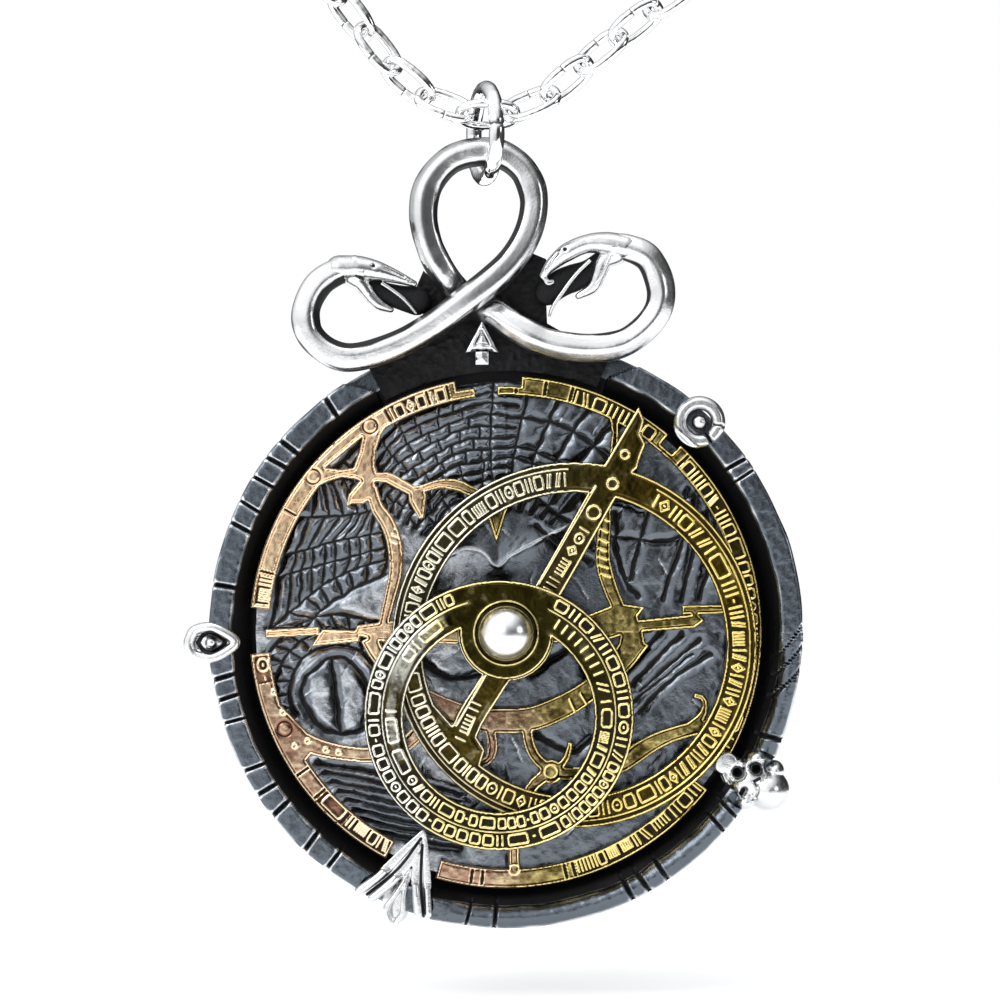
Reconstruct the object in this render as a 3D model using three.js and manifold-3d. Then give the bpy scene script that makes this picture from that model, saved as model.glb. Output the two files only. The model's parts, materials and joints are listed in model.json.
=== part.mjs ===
// Astrolabe pendant: a cast case with a notched rim and a two-headed serpent bail, an engraved
// ground plate, three pierced plates turning on one rivet, a jump ring and the first chain links.
//
// The dial is drawn face up: X right, Y up the dial, Z towards the wearer's viewer, all in
// millimetres from the rivet axis and the back face. The last group stands the dial upright and
// puts the origin at the top of the bail, where the pendant hangs.
import * as THREE from 'three';
import { mergeVertices } from 'three/addons/utils/BufferGeometryUtils.js';
import Module from 'manifold-3d';

const wasm = await Module();
wasm.setup();

// ---------------------------------------------------------------- driving dimensions, mm

const CASE_RADIUS = 22.9;
const RIM_INNER_RADIUS = 21.2;
const WALL_FOOT_RADIUS = 19.9;
const RIM_TOP = 4.6;
const FLOOR_TOP = 1.6;
const GAP = 0.3;

const RETE_RADIUS = 19.8;
const RETE_BAND_INNER = 18.3;
const RULE_CENTRE = [5.25, -0.93];
const RULE_OUTER = 14.05;
const RULE_INNER = 11.7;
const LABEL_CENTRE = [-0.54, -6.3];
const LABEL_OUTER = 10.35;
const LABEL_INNER = 7.33;
const HUB_RADIUS = 3.55;
const POINTER_SWEEP = 20.3;

const SHANK_RADIUS = 1.15;
const BORE_RADIUS = 1.4;
const DOME_RADIUS = 2.12;

const SERPENT_RADIUS = 1.13;
const SERPENT_HEIGHT = 3.9;
const BAIL_TOP = [-2.16, 37.06];

const JUMP_RING = { radius: 3.45, wire: 0.6, centre: [-1.6, 38.5], turn: 15 };
const LINK = { radius: 1.14, wire: 0.33, straight: 2.06 };

// Each layer on the rivet, from the floor up: [underside, top].
const LAYERS = {
  tympan: [1.9, 2.4],
  baseWasher: [2.65, 2.85],
  rete: [3.05, 3.55],
  spacer: [3.8, 4.5],
  rule: [4.75, 5.25],
  upperWasher: [5.45, 5.6],
  label: [5.8, 6.3],
  dome: [6.55, 8.9],
};

const OPEN_SECTOR = [68.5, 118.5];
const RING_SEGMENTS = 24;

const MATERIALS = {
  oxidised: { color: 0x4a4e52, roughness: 0.5, metalness: 0.9 },
  pewter: { color: 0xb9bbbd, roughness: 0.25, metalness: 1.0 },
  silver: { color: 0xdcdcdc, roughness: 0.12, metalness: 1.0 },
  rose: { color: 0xb98a5e, roughness: 0.35, metalness: 1.0 },
  brass: { color: 0xa08a3c, roughness: 0.35, metalness: 1.0 },
};

// ---------------------------------------------------------------- solids

const rad = THREE.MathUtils.degToRad;

function polar(radius, degrees) {
  return [radius * Math.cos(rad(degrees)), radius * Math.sin(rad(degrees))];
}

function toSolid(geometry) {
  const bare = geometry.clone();
  bare.deleteAttribute('normal');
  bare.deleteAttribute('uv');
  const merged = mergeVertices(bare, 1e-4);
  return new wasm.Manifold(new wasm.Mesh({
    numProp: 3,
    vertProperties: new Float32Array(merged.attributes.position.array),
    triVerts: new Uint32Array(merged.index.array),
  }));
}

function toGeometry(solid) {
  const mesh = solid.getMesh();
  const geometry = new THREE.BufferGeometry();
  geometry.setAttribute('position', new THREE.BufferAttribute(mesh.vertProperties, 3));
  geometry.setIndex(new THREE.BufferAttribute(mesh.triVerts, 1));
  geometry.computeVertexNormals();
  return geometry;
}

function join(solids) {
  return solids.reduce((whole, piece) => whole.add(piece));
}

function cut(solid, tools) {
  return tools.reduce((whole, tool) => whole.subtract(tool), solid);
}

function named(name, material, solid) {
  const mesh = new THREE.Mesh(toGeometry(solid), new THREE.MeshStandardMaterial(MATERIALS[material]));
  mesh.name = name;
  return mesh;
}

// ---------------------------------------------------------------- flat outlines

function disc(centre, radius) {
  const shape = new THREE.Shape();
  shape.absarc(centre[0], centre[1], radius, 0, 2 * Math.PI);
  return shape;
}

function polygon(points) {
  return new THREE.Shape(points.map(([x, y]) => new THREE.Vector2(x, y)));
}

function sector(inner, outer, from, to, steps = 48) {
  const angles = Array.from({ length: steps + 1 }, (_, i) => from + ((to - from) * i) / steps);
  const outside = angles.map((angle) => polar(outer, angle));
  const inside = angles.map((angle) => polar(inner, angle)).reverse();
  return polygon([...outside, ...inside]);
}

// A ribbon along a smooth curve; widths are spread evenly from its start to its end.
function ribbon(points, widths, steps = 14) {
  const curve = new THREE.SplineCurve(points.map(([x, y]) => new THREE.Vector2(x, y)));
  const left = [];
  const right = [];
  for (let i = 0; i <= steps; i += 1) {
    const t = i / steps;
    const at = curve.getPoint(t);
    const ahead = curve.getTangent(t);
    const place = t * (widths.length - 1);
    const low = Math.min(Math.floor(place), widths.length - 2);
    const half = 0.5 * THREE.MathUtils.lerp(widths[low], widths[low + 1], place - low);
    left.push([at.x - ahead.y * half, at.y + ahead.x * half]);
    right.unshift([at.x + ahead.y * half, at.y - ahead.x * half]);
  }
  return polygon([...left, ...right]);
}

function bar(from, to, width) {
  return ribbon([from, to], [width, width], 1);
}

function slab(shape, [low, high], segments = RING_SEGMENTS) {
  const options = { depth: high - low, bevelEnabled: false, curveSegments: segments };
  const geometry = new THREE.ExtrudeGeometry(shape, options);
  geometry.translate(0, 0, low);
  return toSolid(geometry);
}

function turned(profile, segments) {
  const points = profile.map(([radius, height]) => new THREE.Vector2(radius, height));
  const geometry = new THREE.LatheGeometry(points, segments);
  geometry.rotateX(Math.PI / 2);
  return toSolid(geometry);
}

function tube(points, radius, sides = 12, steps = 44) {
  const path = new THREE.CatmullRomCurve3(points.map(([x, y]) => new THREE.Vector3(x, y, SERPENT_HEIGHT)));
  const options = { extrudePath: path, steps, curveSegments: sides };
  return toSolid(new THREE.ExtrudeGeometry(disc([0, 0], radius), options));
}

function ellipsoid(centre, radii, detail = 12) {
  const geometry = new THREE.SphereGeometry(1, detail, detail);
  geometry.scale(...radii);
  geometry.translate(...centre);
  return toSolid(geometry);
}

// ---------------------------------------------------------------- serpent bail

// One two-headed serpent makes the whole bail: its body crosses behind itself under the middle
// loop, which splits it into a left piece with that loop and a right piece.
const LEFT_SERPENT = [
  [-10.8, 27.9], [-12.43, 28.05], [-14.45, 26.94], [-15.5, 24.7], [-14.9, 22.6], [-12.5, 21.2],
  [-9.19, 21.85], [-5.87, 23.55], [-3.01, 25.63], [-0.08, 28.1], [1.62, 30.65], [2.16, 33.35],
  [1.4, 35.55], [-0.3, 36.85], BAIL_TOP, [-4.32, 36.4], [-5.95, 34.51], [-6.35, 32.19], [-5.87, 29.88],
];
const LOOP_FOOT = [[-6.35, 32.19], [-5.87, 29.88], [-4.9, 27.9], [-3.9, 26.6]];
const RIGHT_SERPENT = [
  [-0.75, 24.65], [1.08, 23.4], [3.24, 22.4], [6.33, 21.95], [9.19, 22.4], [11.4, 24.3],
  [11.95, 26.4], [11.05, 28.75], [9.4, 29.65], [8.1, 29.75],
];
const LEFT_HEAD = [
  [-12.6, 28.9], [-11.2, 28.95], [-9.8, 28.4], [-8.3, 27.7], [-7.0, 27.0], [-7.3, 26.6], [-8.4, 26.9],
  [-9.7, 27.0], [-10.5, 27.2], [-10.1, 26.3], [-9.4, 25.2], [-8.6, 24.9], [-8.8, 24.5], [-9.8, 24.6],
  [-10.9, 25.5], [-11.5, 26.6], [-12.4, 26.9],
];
const RIGHT_HEAD = [
  [8.6, 30.7], [6.5, 30.7], [4.5, 29.9], [3.2, 28.9], [2.7, 27.6], [3.1, 27.2], [4.1, 27.9], [5.5, 28.6],
  [6.9, 29.0], [6.8, 28.1], [6.2, 26.6], [6.3, 25.8], [7.0, 26.2], [7.9, 27.6], [8.6, 28.6],
];
const LEFT_TONGUE = [[-10.2, 27.2], [-8.3, 26.0], [-7.0, 24.7]];
const RIGHT_TONGUE = [[6.6, 28.7], [5.0, 27.2], [3.3, 24.9]];
const HEAD_LAYER = [SERPENT_HEIGHT - 0.9, SERPENT_HEIGHT + 0.95];
const TONGUE_LAYER = [SERPENT_HEIGHT - 0.4, SERPENT_HEIGHT + 0.2];

function serpentLeft() {
  return join([
    tube(LEFT_SERPENT, SERPENT_RADIUS, 5, 50),
    tube(LOOP_FOOT, SERPENT_RADIUS, 5, 6),
    slab(polygon(LEFT_HEAD), HEAD_LAYER),
    slab(ribbon(LEFT_TONGUE, [0.5, 0.4], 6), TONGUE_LAYER),
  ]);
}

function serpentRight() {
  return join([
    tube(RIGHT_SERPENT, SERPENT_RADIUS, 5, 26),
    slab(polygon(RIGHT_HEAD), HEAD_LAYER),
    slab(ribbon(RIGHT_TONGUE, [0.5, 0.4], 6), TONGUE_LAYER),
  ]);
}

function serpentClearance() {
  const wide = SERPENT_RADIUS + GAP;
  return [tube(LEFT_SERPENT.slice(0, 9), wide, 5, 20), tube(RIGHT_SERPENT, wide, 5, 24)];
}

// ---------------------------------------------------------------- rim bosses

// Every boss stands in a seat cut through the rim. Inside the turning plates' reach it becomes a
// thin overhang between the rete below and the rule above.
const BOSS_FOOT = 1.0;
const OVERHANG = [3.85, 4.45];

const EYE = { centre: [-22.66, -0.79], halfLength: 2.0, halfHeight: 1.45, top: 5.0 };
const STUD = { centre: [14.9, 16.2], radius: 2.0, ring: 1.16, ball: 0.7, top: 5.0 };
const SKULL = { centre: [18.95, -11.65], radii: [2.9, 2.55, 2.3], height: 3.9 };
const FEATHER_OUTLINE = [
  [-6.4, -15.1], [-7.3, -17.2], [-9.4, -18.6], [-11.8, -19.8], [-11.4, -20.6], [-9.7, -21.3], [-9.6, -22.3],
  [-8.8, -22.7], [-8.0, -22.4], [-7.4, -21.7], [-5.7, -22.3], [-5.9, -19.5],
];
const FEATHER_TOP = 5.1;

function eyeOutline(grow) {
  const { centre, halfLength, halfHeight } = EYE;
  const long = halfLength + grow;
  const high = halfHeight + grow;
  const rows = [[1, 0], [0.45, 0.62], [-0.1, 0.98], [-0.6, 0.8], [-0.92, 0.35], [-0.92, -0.35], [-0.6, -0.8],
    [-0.1, -0.98], [0.45, -0.62]];
  return polygon(rows.map(([x, y]) => [centre[0] + long * x, centre[1] + high * y]));
}

function grown(outline, amount) {
  const mid = outline.reduce((sum, [x, y]) => [sum[0] + x, sum[1] + y], [0, 0]).map((v) => v / outline.length);
  return polygon(outline.map(([x, y]) => {
    const away = Math.hypot(x - mid[0], y - mid[1]);
    const scale = (away + amount) / away;
    return [mid[0] + (x - mid[0]) * scale, mid[1] + (y - mid[1]) * scale];
  }));
}

function clearOfPlates(boss, top) {
  const below = slab(disc([0, 0], RETE_RADIUS + 0.35), [-1, OVERHANG[0]]);
  const above = slab(disc([0, 0], POINTER_SWEEP + GAP), [OVERHANG[1], top + 5]);
  return cut(boss, [below, above]);
}

function eyeBoss() {
  const [x, y] = EYE.centre;
  const body = slab(eyeOutline(0), [BOSS_FOOT, EYE.top]);
  const recess = ellipsoid([x - 0.1, y, EYE.top + 0.1], [1.35, 0.85, 0.8]);
  const pupil = ellipsoid([x - 0.2, y, EYE.top - 0.55], [0.55, 0.5, 0.5]);
  return clearOfPlates(body.subtract(recess).add(pupil), EYE.top);
}

function studBezel() {
  const { centre, radius, ring, ball, top } = STUD;
  const body = slab(disc(centre, radius), [BOSS_FOOT, top], 12);
  const well = slab(disc(centre, ring), [top - 0.9, top + 1], 12);
  const slit = slab(bar(centre, [centre[0] + 1.3, centre[1] - 1.9], 0.35), [top - 0.5, top + 1]);
  const bead = ellipsoid([centre[0], centre[1], top - 0.6], [ball, ball, 0.75]);
  return clearOfPlates(cut(body, [well, slit]).add(bead), top);
}

function skullBoss() {
  const { centre, radii, height } = SKULL;
  const [x, y] = centre;
  const cranium = ellipsoid([x + 0.5, y - 0.6, height], [radii[0] * 0.85, radii[1] * 0.88, radii[2]]);
  const face = ellipsoid([x - 0.9, y + 0.8, height - 0.2], [radii[0] * 0.72, radii[1] * 0.7, radii[2] * 0.8]);
  const sockets = [[-1.0, 0.2], [0.1, 1.1]].map(([dx, dy]) => ellipsoid([x + dx, y + dy, 6.1], [0.6, 0.6, 0.9], 8));
  const below = slab(disc(centre, 8), [-4, BOSS_FOOT]);
  return clearOfPlates(cut(cranium.add(face), [...sockets, below]), height + radii[2]);
}

function featherBoss() {
  return clearOfPlates(slab(polygon(FEATHER_OUTLINE), [BOSS_FOOT, FEATHER_TOP]), FEATHER_TOP);
}

function bossSeats() {
  const seat = [BOSS_FOOT - GAP, RIM_TOP + 2];
  const { centre, radii } = SKULL;
  const outlines = [
    eyeOutline(GAP),
    disc(STUD.centre, STUD.radius + GAP),
    disc(centre, radii[0] + 0.2),
    grown(FEATHER_OUTLINE, 0.5),
  ];
  const floor = slab(disc([0, 0], WALL_FOOT_RADIUS - 0.05), [-1, RIM_TOP + 3]);
  return outlines.map((shape) => slab(shape, seat, 16).subtract(floor));
}

// ---------------------------------------------------------------- case and fixed pieces

const WEB_OUTLINE = [
  [-6.3, 24.2], [-7.0, 26.6], [-6.4, 28.0], [-3.9, 25.6], [-0.4, 26.9], [0.9, 29.2], [1.9, 29.4], [3.1, 28.9],
  [3.5, 27.9], [3.1, 26.4], [3.2, 23.9], [7.26, 21.6],
];
const WEB_LAYER = [1.9, 2.45];
const WEB_INNER_RADIUS = 20.2;
const WEB_ENDS = [65, 119];

const NOTCH_ANGLES = [
  33.3, 36.2, 127.8, 139.5, 143.5, 148.2, 153.8, 158.4, 170.7, 189, 193.2, 198, 208.2, 213.3, 218, 227, 232.8,
  262.4, 267.8, 295.4, 298.8, 303.2, 317.8, 338.4, 349.9, 354.5, 358.5,
];

function materCase() {
  const tail = 2.5;
  const body = turned([
    [BORE_RADIUS, 0.6], [tail, 0.6], [tail, 0], [CASE_RADIUS - 0.6, 0], [CASE_RADIUS, 0.6],
    [CASE_RADIUS, RIM_TOP - 0.4], [CASE_RADIUS - 0.4, RIM_TOP], [RIM_INNER_RADIUS, RIM_TOP],
    [RIM_INNER_RADIUS - 0.3, RIM_TOP - 0.35], [WALL_FOOT_RADIUS, FLOOR_TOP], [BORE_RADIUS, FLOOR_TOP],
    [BORE_RADIUS, 0.6],
  ], 72);
  const [from, to] = OPEN_SECTOR;
  const open = slab(sector(WALL_FOOT_RADIUS - 0.2, CASE_RADIUS + 1, from, to, 24), [FLOOR_TOP, RIM_TOP + 1]);
  const notches = NOTCH_ANGLES.map((angle) => {
    const groove = bar(polar(RIM_INNER_RADIUS + 0.1, angle), polar(CASE_RADIUS + 0.4, angle), 0.3);
    return slab(groove, [RIM_TOP - 0.25, RIM_TOP + 1]);
  });
  return cut(body, [open, ...serpentClearance(), ...bossSeats(), ...notches]);
}

function throneWeb() {
  const [from, to] = WEB_ENDS;
  const collar = slab(sector(WEB_INNER_RADIUS, CASE_RADIUS + 0.2, from, to, 20), WEB_LAYER);
  const peak = [...WEB_OUTLINE, polar(WEB_INNER_RADIUS + 0.8, 72), polar(WEB_INNER_RADIUS + 0.8, 90),
    polar(WEB_INNER_RADIUS + 0.8, 108)];
  const rimEnds = [[55, from + 4.5], [to - 1.5, 128]].map(([low, high]) => (
    slab(sector(WEB_INNER_RADIUS - 1, CASE_RADIUS + GAP, low, high, 6), [0, RIM_TOP])));
  return cut(collar.add(slab(polygon(peak), WEB_LAYER)), rimEnds);
}

function arrowIndex() {
  const head = polygon([[-1.85, 24.0], [-3.1, 21.6], [-2.35, 21.75], [-2.35, 20.65], [-1.35, 20.65],
    [-1.35, 21.75], [-0.6, 21.6]]);
  return slab(head, [WEB_LAYER[1] + GAP, 3.9]);
}

function ground() {
  return slab(disc([0, 0], WALL_FOOT_RADIUS - 0.5), LAYERS.tympan, 36).subtract(bore());
}

function bore() {
  return slab(disc([0, 0], BORE_RADIUS), [-1, 9], 10);
}

function washer(layer, radius) {
  return slab(disc([0, 0], radius), layer, 14).subtract(bore());
}

function rivet() {
  const [base, top] = LAYERS.dome;
  const arc = [0.15, 0.32, 0.5, 0.68, 0.84].map((t) => (
    [DOME_RADIUS * Math.cos(t * Math.PI / 2), base + (top - base) * Math.sin(t * Math.PI / 2)]));
  const profile = [[0, 0.05], [2.1, 0.05], [2.1, 0.3], [SHANK_RADIUS, 0.3], [SHANK_RADIUS, base],
    [DOME_RADIUS, base], ...arc, [0, top]];
  return turned(profile, 24);
}

// ---------------------------------------------------------------- rete

const WISHBONE_RIVETS = [[-10.5, 15.9], [-14.9, 12.0]];

function reteBand() {
  return [
    sector(RETE_BAND_INNER, RETE_RADIUS, 97.3, 174.5, 40),
    sector(RETE_BAND_INNER, RETE_RADIUS, -29, 92.1, 60),
    sector(RETE_BAND_INNER, RETE_RADIUS, 185, 242, 30),
    sector(RETE_BAND_INNER, RETE_RADIUS, 254, 322, 34),
  ];
}

function reteNotches() {
  return [
    sector(RETE_RADIUS - 0.8, RETE_RADIUS + 1, 94, 101.5, 4),
    sector(RETE_RADIUS - 0.8, RETE_RADIUS + 1, 86.5, 94, 4),
    sector(RETE_RADIUS - 1.0, RETE_RADIUS + 1, 47, 50.5, 3),
  ];
}

// Top left: a two-legged strut with a triangular window, and the hooked spray that leaves its knee.
function reteWishbone() {
  return [
    polygon([
      [-7.2, 17.4], [-8.8, 16.5], [-9.6, 15.3], [-10.0, 14.1], [-10.1, 12.9], [-9.8, 11.9], [-10.7, 11.4],
      [-11.6, 11.8], [-12.7, 11.95], [-13.8, 11.6], [-15.0, 11.0], [-15.9, 10.1], [-16.7, 8.4], [-17.5, 10.2],
      [-15.0, 13.9], [-10.4, 17.3],
    ]),
    ribbon([[-10.5, 11.9], [-9.2, 11.95], [-8.2, 11.45], [-7.2, 10.9]], [0.7, 0.9, 0.8], 6),
    polygon([[-7.6, 11.2], [-6.5, 11.4], [-6.1, 10.6], [-6.3, 8.8], [-6.7, 8.7], [-7.5, 10.1]]),
    ribbon([[-6.6, 11.0], [-5.1, 11.45], [-3.6, 11.3], [-2.3, 10.7], [-0.4, 10.6], [2.4, 11.0], [5.2, 11.4],
      [8.1, 11.2]], [0.6, 0.9, 0.8, 0.8, 0.8], 16),
    polygon([[-1.7, 10.8], [-1.5, 9.1], [-0.73, 6.8], [0.0, 9.2], [0.9, 10.9]]),
    polygon([[-11.2, 11.8], [-12.2, 10.6], [-12.4, 9.6], [-11.9, 9.9], [-11.0, 9.9], [-10.0, 10.6], [-10.1, 11.8]]),
  ];
}

function reteArcs() {
  return [
    ribbon([[-10.4, 11.2], [-10.0, 9.7], [-9.25, 8.6], [-8.7, 7.25], [-8.5, 5.9], [-8.55, 4.4], [-8.95, 2.7],
      [-9.5, 0.4]], [0.9, 1.15, 1.2, 1.05, 0.8], 18),
    ribbon([[7.6, 18.3], [8.35, 16.5], [8.4, 14.6], [8.1, 12.2], [7.75, 9.5], [7.55, 7.2], [7.5, 5.4], [8.0, 3.5],
      [8.8, 1.6]], [0.8, 0.6, 0.6, 1.1, 1.25, 1.1], 20),
    ribbon([[-10.6, -0.4], [-9.8, -1.9], [-8.2, -3.7], [-6.0, -5.3], [-3.2, -6.55], [-0.6, -6.85], [1.8, -6.75],
      [3.8, -6.05], [5.6, -5.1], [7.2, -3.9], [8.8, -2.4], [10.2, -0.4]], [1.4, 1.1, 1.9, 2.0, 1.9, 1.6, 2.2], 30),
    ribbon([[-16.2, -8.2], [-14.6, -8.9], [-12.6, -9.35], [-10.4, -9.5], [-8.2, -9.0], [-6.4, -7.4],
      [-5.2, -5.8]], [1.6, 1.2, 1.2, 1.2], 16),
    ribbon([[18.6, -6.2], [16.4, -7.1], [14.4, -7.5], [12.4, -8.1], [10.6, -9.0], [8.8, -10.3], [6.6, -10.9],
      [3.6, -10.9]], [1.2, 1.1, 1.2, 1.5, 1.1, 1.0], 20),
    ribbon([[14.2, -7.4], [15.2, -6.4], [15.3, -5.2], [14.5, -4.9]], [0.9, 0.5, 0.4], 8),
  ];
}

function reteBars() {
  return [
    bar([-18.2, -0.12], [-14.4, 0.08], 0.65),
    polygon([[-15.4, -1.6], [-14.2, 0.2], [-11.2, 0.1], [-11.3, -0.75], [-14.9, -1.1]]),
    polygon([[-11.8, -0.2], [-11.5, 0.5], [-8.9, 0.85], [-2.5, 0.2], [-2.5, -1.0], [-9.5, -0.8]]),
    polygon([[2.5, -0.9], [2.5, 1.0], [6.0, 1.2], [8.6, 2.25], [10.8, 1.95], [10.2, 1.2], [10.4, 0.6], [9.2, -0.2],
      [8.0, -0.6]]),
    polygon([[8.8, -0.3], [9.9, 0.9], [14.9, 1.4], [15.4, 0.9], [14.6, 0.3], [10.6, 0.0], [10.8, -1.0], [9.7, -2.6],
      [8.3, -2.4]]),
    bar([13.6, 1.7], [18.6, 1.8], 0.75),
    bar([-18.6, -0.12], [-18.0, -0.12], 0.65),
  ];
}

function reteFoot() {
  return [
    ribbon([[0.65, -18.4], [0.65, -16.0], [1.1, -13.8], [2.0, -12.0], [3.4, -10.8]], [0.9, 0.8, 0.9, 1.1], 10),
    ribbon([[-1.3, -7.4], [-1.05, -8.6], [-1.3, -9.8], [-2.5, -10.4]], [0.9, 0.85, 0.6], 8),
    ribbon([[1.6, -7.2], [1.8, -8.6], [2.4, -9.8], [3.6, -10.6], [4.6, -9.9], [5.0, -8.5]], [0.9, 0.9, 0.9, 0.6, 0.4],
      12),
    disc([3.5, -10.8], 0.95),
    polygon([[-20.0 * 0.93, -3.2], [-17.6, -5.4], [-15.2, -7.9], [-14.8, -9.2], [-15.4, -9.9], [-16.6, -8.9]]),
  ];
}

function rete() {
  const layer = LAYERS.rete;
  const band = cut(join(reteBand().map((shape) => slab(shape, layer))), reteNotches().map((shape) => (
    slab(shape, [layer[0] - 1, layer[1] + 1]))));
  const tracery = [...reteWishbone(), ...reteArcs(), ...reteBars(), ...reteFoot(), disc([0, 0], HUB_RADIUS - 0.2)];
  const edge = slab(disc([0, 0], RETE_RADIUS - 0.4), layer);
  const inside = join(tracery.map((shape) => slab(shape, layer, 16))).intersect(edge);
  const window = slab(polygon([[-11.1, 15.05], [-11.35, 13.9], [-11.8, 12.7], [-12.8, 12.55], [-13.9, 12.7]]), [0, 9]);
  return cut(band.add(inside), [window, bore()]);
}

// ---------------------------------------------------------------- rule ring and label ring

const ARM_POINTS = [[7.57, 10.9], [3.4, 3.55], [-0.69, -3.32], [-2.78, -6.64], [-3.9, -9.6]];
const POINTER = [
  [7.35, 12.6], [10.2, 17.45], [10.65, 16.3], [10.35, 15.3], [10.75, 14.5], [10.3, 13.4], [10.1, 12.6],
  [9.2, 11.9],
];
const CROSSBAR = [[5.45, 12.4], [7.6, 12.65], [9.3, 11.9], [10.5, 11.6], [10.25, 10.4], [8.6, 10.4], [6.85, 10.9],
  [5.7, 11.0]];

function ruleRing() {
  const layer = LAYERS.rule;
  const ring = slab(disc(RULE_CENTRE, RULE_OUTER), layer, 40).subtract(
    slab(disc(RULE_CENTRE, RULE_INNER), [0, 9], 40));
  const arm = [
    ribbon(ARM_POINTS, [2.1, 2.1], 12),
    polygon([[-5.6, -5.4], [-4.0, -7.2], [-2.6, -7.4], [-1.6, -9.0], [-2.3, -11.2], [-4.6, -9.4], [-6.6, -6.0]]),
    polygon(CROSSBAR),
    polygon(POINTER),
    disc([0, 0], HUB_RADIUS + 0.2),
  ];
  return join([ring, ...arm.map((shape) => slab(shape, layer, 16))]).subtract(bore());
}

function labelRing() {
  const layer = LAYERS.label;
  const window = slab(disc([LABEL_CENTRE[0], LABEL_CENTRE[1] - 0.11], LABEL_INNER), [0, 9], 28);
  const ring = slab(disc(LABEL_CENTRE, LABEL_OUTER), layer, 32).subtract(window);
  return ring.add(slab(disc([0, 0], HUB_RADIUS), layer, 16)).subtract(bore());
}

// ---------------------------------------------------------------- jump ring and chain

const CHAIN_START = [-1.4, 39.95];
const CENTRE_TWIST = 45;
const LEFT_LEAN = [160, 140, 128, 128, 130];
const RIGHT_LEAN = [22, 40, 40, 38, 36];
const LINK_REACH = LINK.radius + LINK.straight / 2;
const LINK_HOLD = 2 * LINK.wire + 0.25;

function jumpRing() {
  const { radius, wire, centre, turn } = JUMP_RING;
  const mesh = named('jump_ring', 'silver', toSolid(new THREE.TorusGeometry(radius, wire, 10, 30)));
  mesh.rotation.set(0, Math.PI / 2 + rad(turn), 0);
  mesh.position.set(centre[0], centre[1], SERPENT_HEIGHT);
  return mesh;
}

// A round wire ring drawn out along X into a link with straight sides.
function linkSolid() {
  const geometry = new THREE.TorusGeometry(LINK.radius, LINK.wire, 7, 16);
  geometry.rotateZ(Math.PI / 16);
  const position = geometry.attributes.position;
  for (let i = 0; i < position.count; i += 1) {
    position.setX(i, position.getX(i) + (Math.sign(position.getX(i)) * LINK.straight) / 2);
  }
  return toSolid(geometry);
}

function chainLink(name, at, direction, twist) {
  const mesh = named(name, 'silver', linkSolid());
  mesh.rotation.set(rad(twist), 0, 0);
  const holder = new THREE.Group();
  holder.rotation.z = direction;
  holder.position.set(at[0], at[1], SERPENT_HEIGHT);
  holder.add(mesh);
  return holder;
}

// Each link starts inside the end of the one before it, leans by its own angle and is turned a
// quarter about its length from its neighbours. A strand to the left is seen from its other end,
// which turns the centre link's twist over.
function strand(side, leans) {
  const leftward = leans[0] > 90;
  const start = polar(LINK_REACH - LINK_HOLD, leftward ? 180 : 0);
  const firstTwist = leftward ? CENTRE_TWIST : -CENTRE_TWIST;
  let foot = [CHAIN_START[0] + start[0], CHAIN_START[1] + start[1]];
  return leans.map((lean, i) => {
    const reach = polar(LINK_REACH, lean);
    const next = polar(2 * LINK_REACH - LINK_HOLD, lean);
    const at = [foot[0] + reach[0], foot[1] + reach[1]];
    foot = [foot[0] + next[0], foot[1] + next[1]];
    return chainLink(`chain_link_${side}_${i + 1}`, at, rad(lean), i % 2 === 0 ? firstTwist : -firstTwist);
  });
}

// ---------------------------------------------------------------- assembly

const dial = new THREE.Group();
dial.add(
  named('mater_case', 'oxidised', materCase()),
  named('throne_web', 'oxidised', throneWeb()),
  named('tympan_plate', 'oxidised', ground()),
  named('arrow_index', 'pewter', arrowIndex()),
  named('eye_boss', 'pewter', eyeBoss()),
  named('stud_bezel', 'pewter', studBezel()),
  named('skull_boss', 'pewter', skullBoss()),
  named('feather_boss', 'pewter', featherBoss()),
  named('serpent_left', 'pewter', serpentLeft()),
  named('serpent_right', 'pewter', serpentRight()),
  named('base_washer', 'brass', washer(LAYERS.baseWasher, 2.6)),
  named('rete', 'rose', rete()),
  named('spacer_washer', 'brass', washer(LAYERS.spacer, 2.6)),
  named('rule_ring', 'brass', ruleRing()),
  named('upper_washer', 'brass', washer(LAYERS.upperWasher, 2.4)),
  named('label_ring', 'brass', labelRing()),
  named('rivet', 'silver', rivet()),
  jumpRing(),
  chainLink('chain_link_centre', CHAIN_START, 0, CENTRE_TWIST),
  ...strand('left', LEFT_LEAN),
  ...strand('right', RIGHT_LEAN),
);
dial.position.set(-BAIL_TOP[0], -BAIL_TOP[1], -SERPENT_HEIGHT);

const pendant = new THREE.Group();
pendant.rotation.x = Math.PI / 2;
pendant.add(dial);

export default pendant;
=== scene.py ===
"""Astrolabe pendant: the finished surfaces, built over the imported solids.

The dial is laid out in millimetres from the rivet axis: x to the right, y up the dial, and z from the
back face towards the front. Dial.place turns such points into the upright frame of the parts, in metres.
"""

import json
import logging
import math
from collections.abc import Iterable, Sequence
from dataclasses import dataclass, field
from enum import Enum

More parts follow.
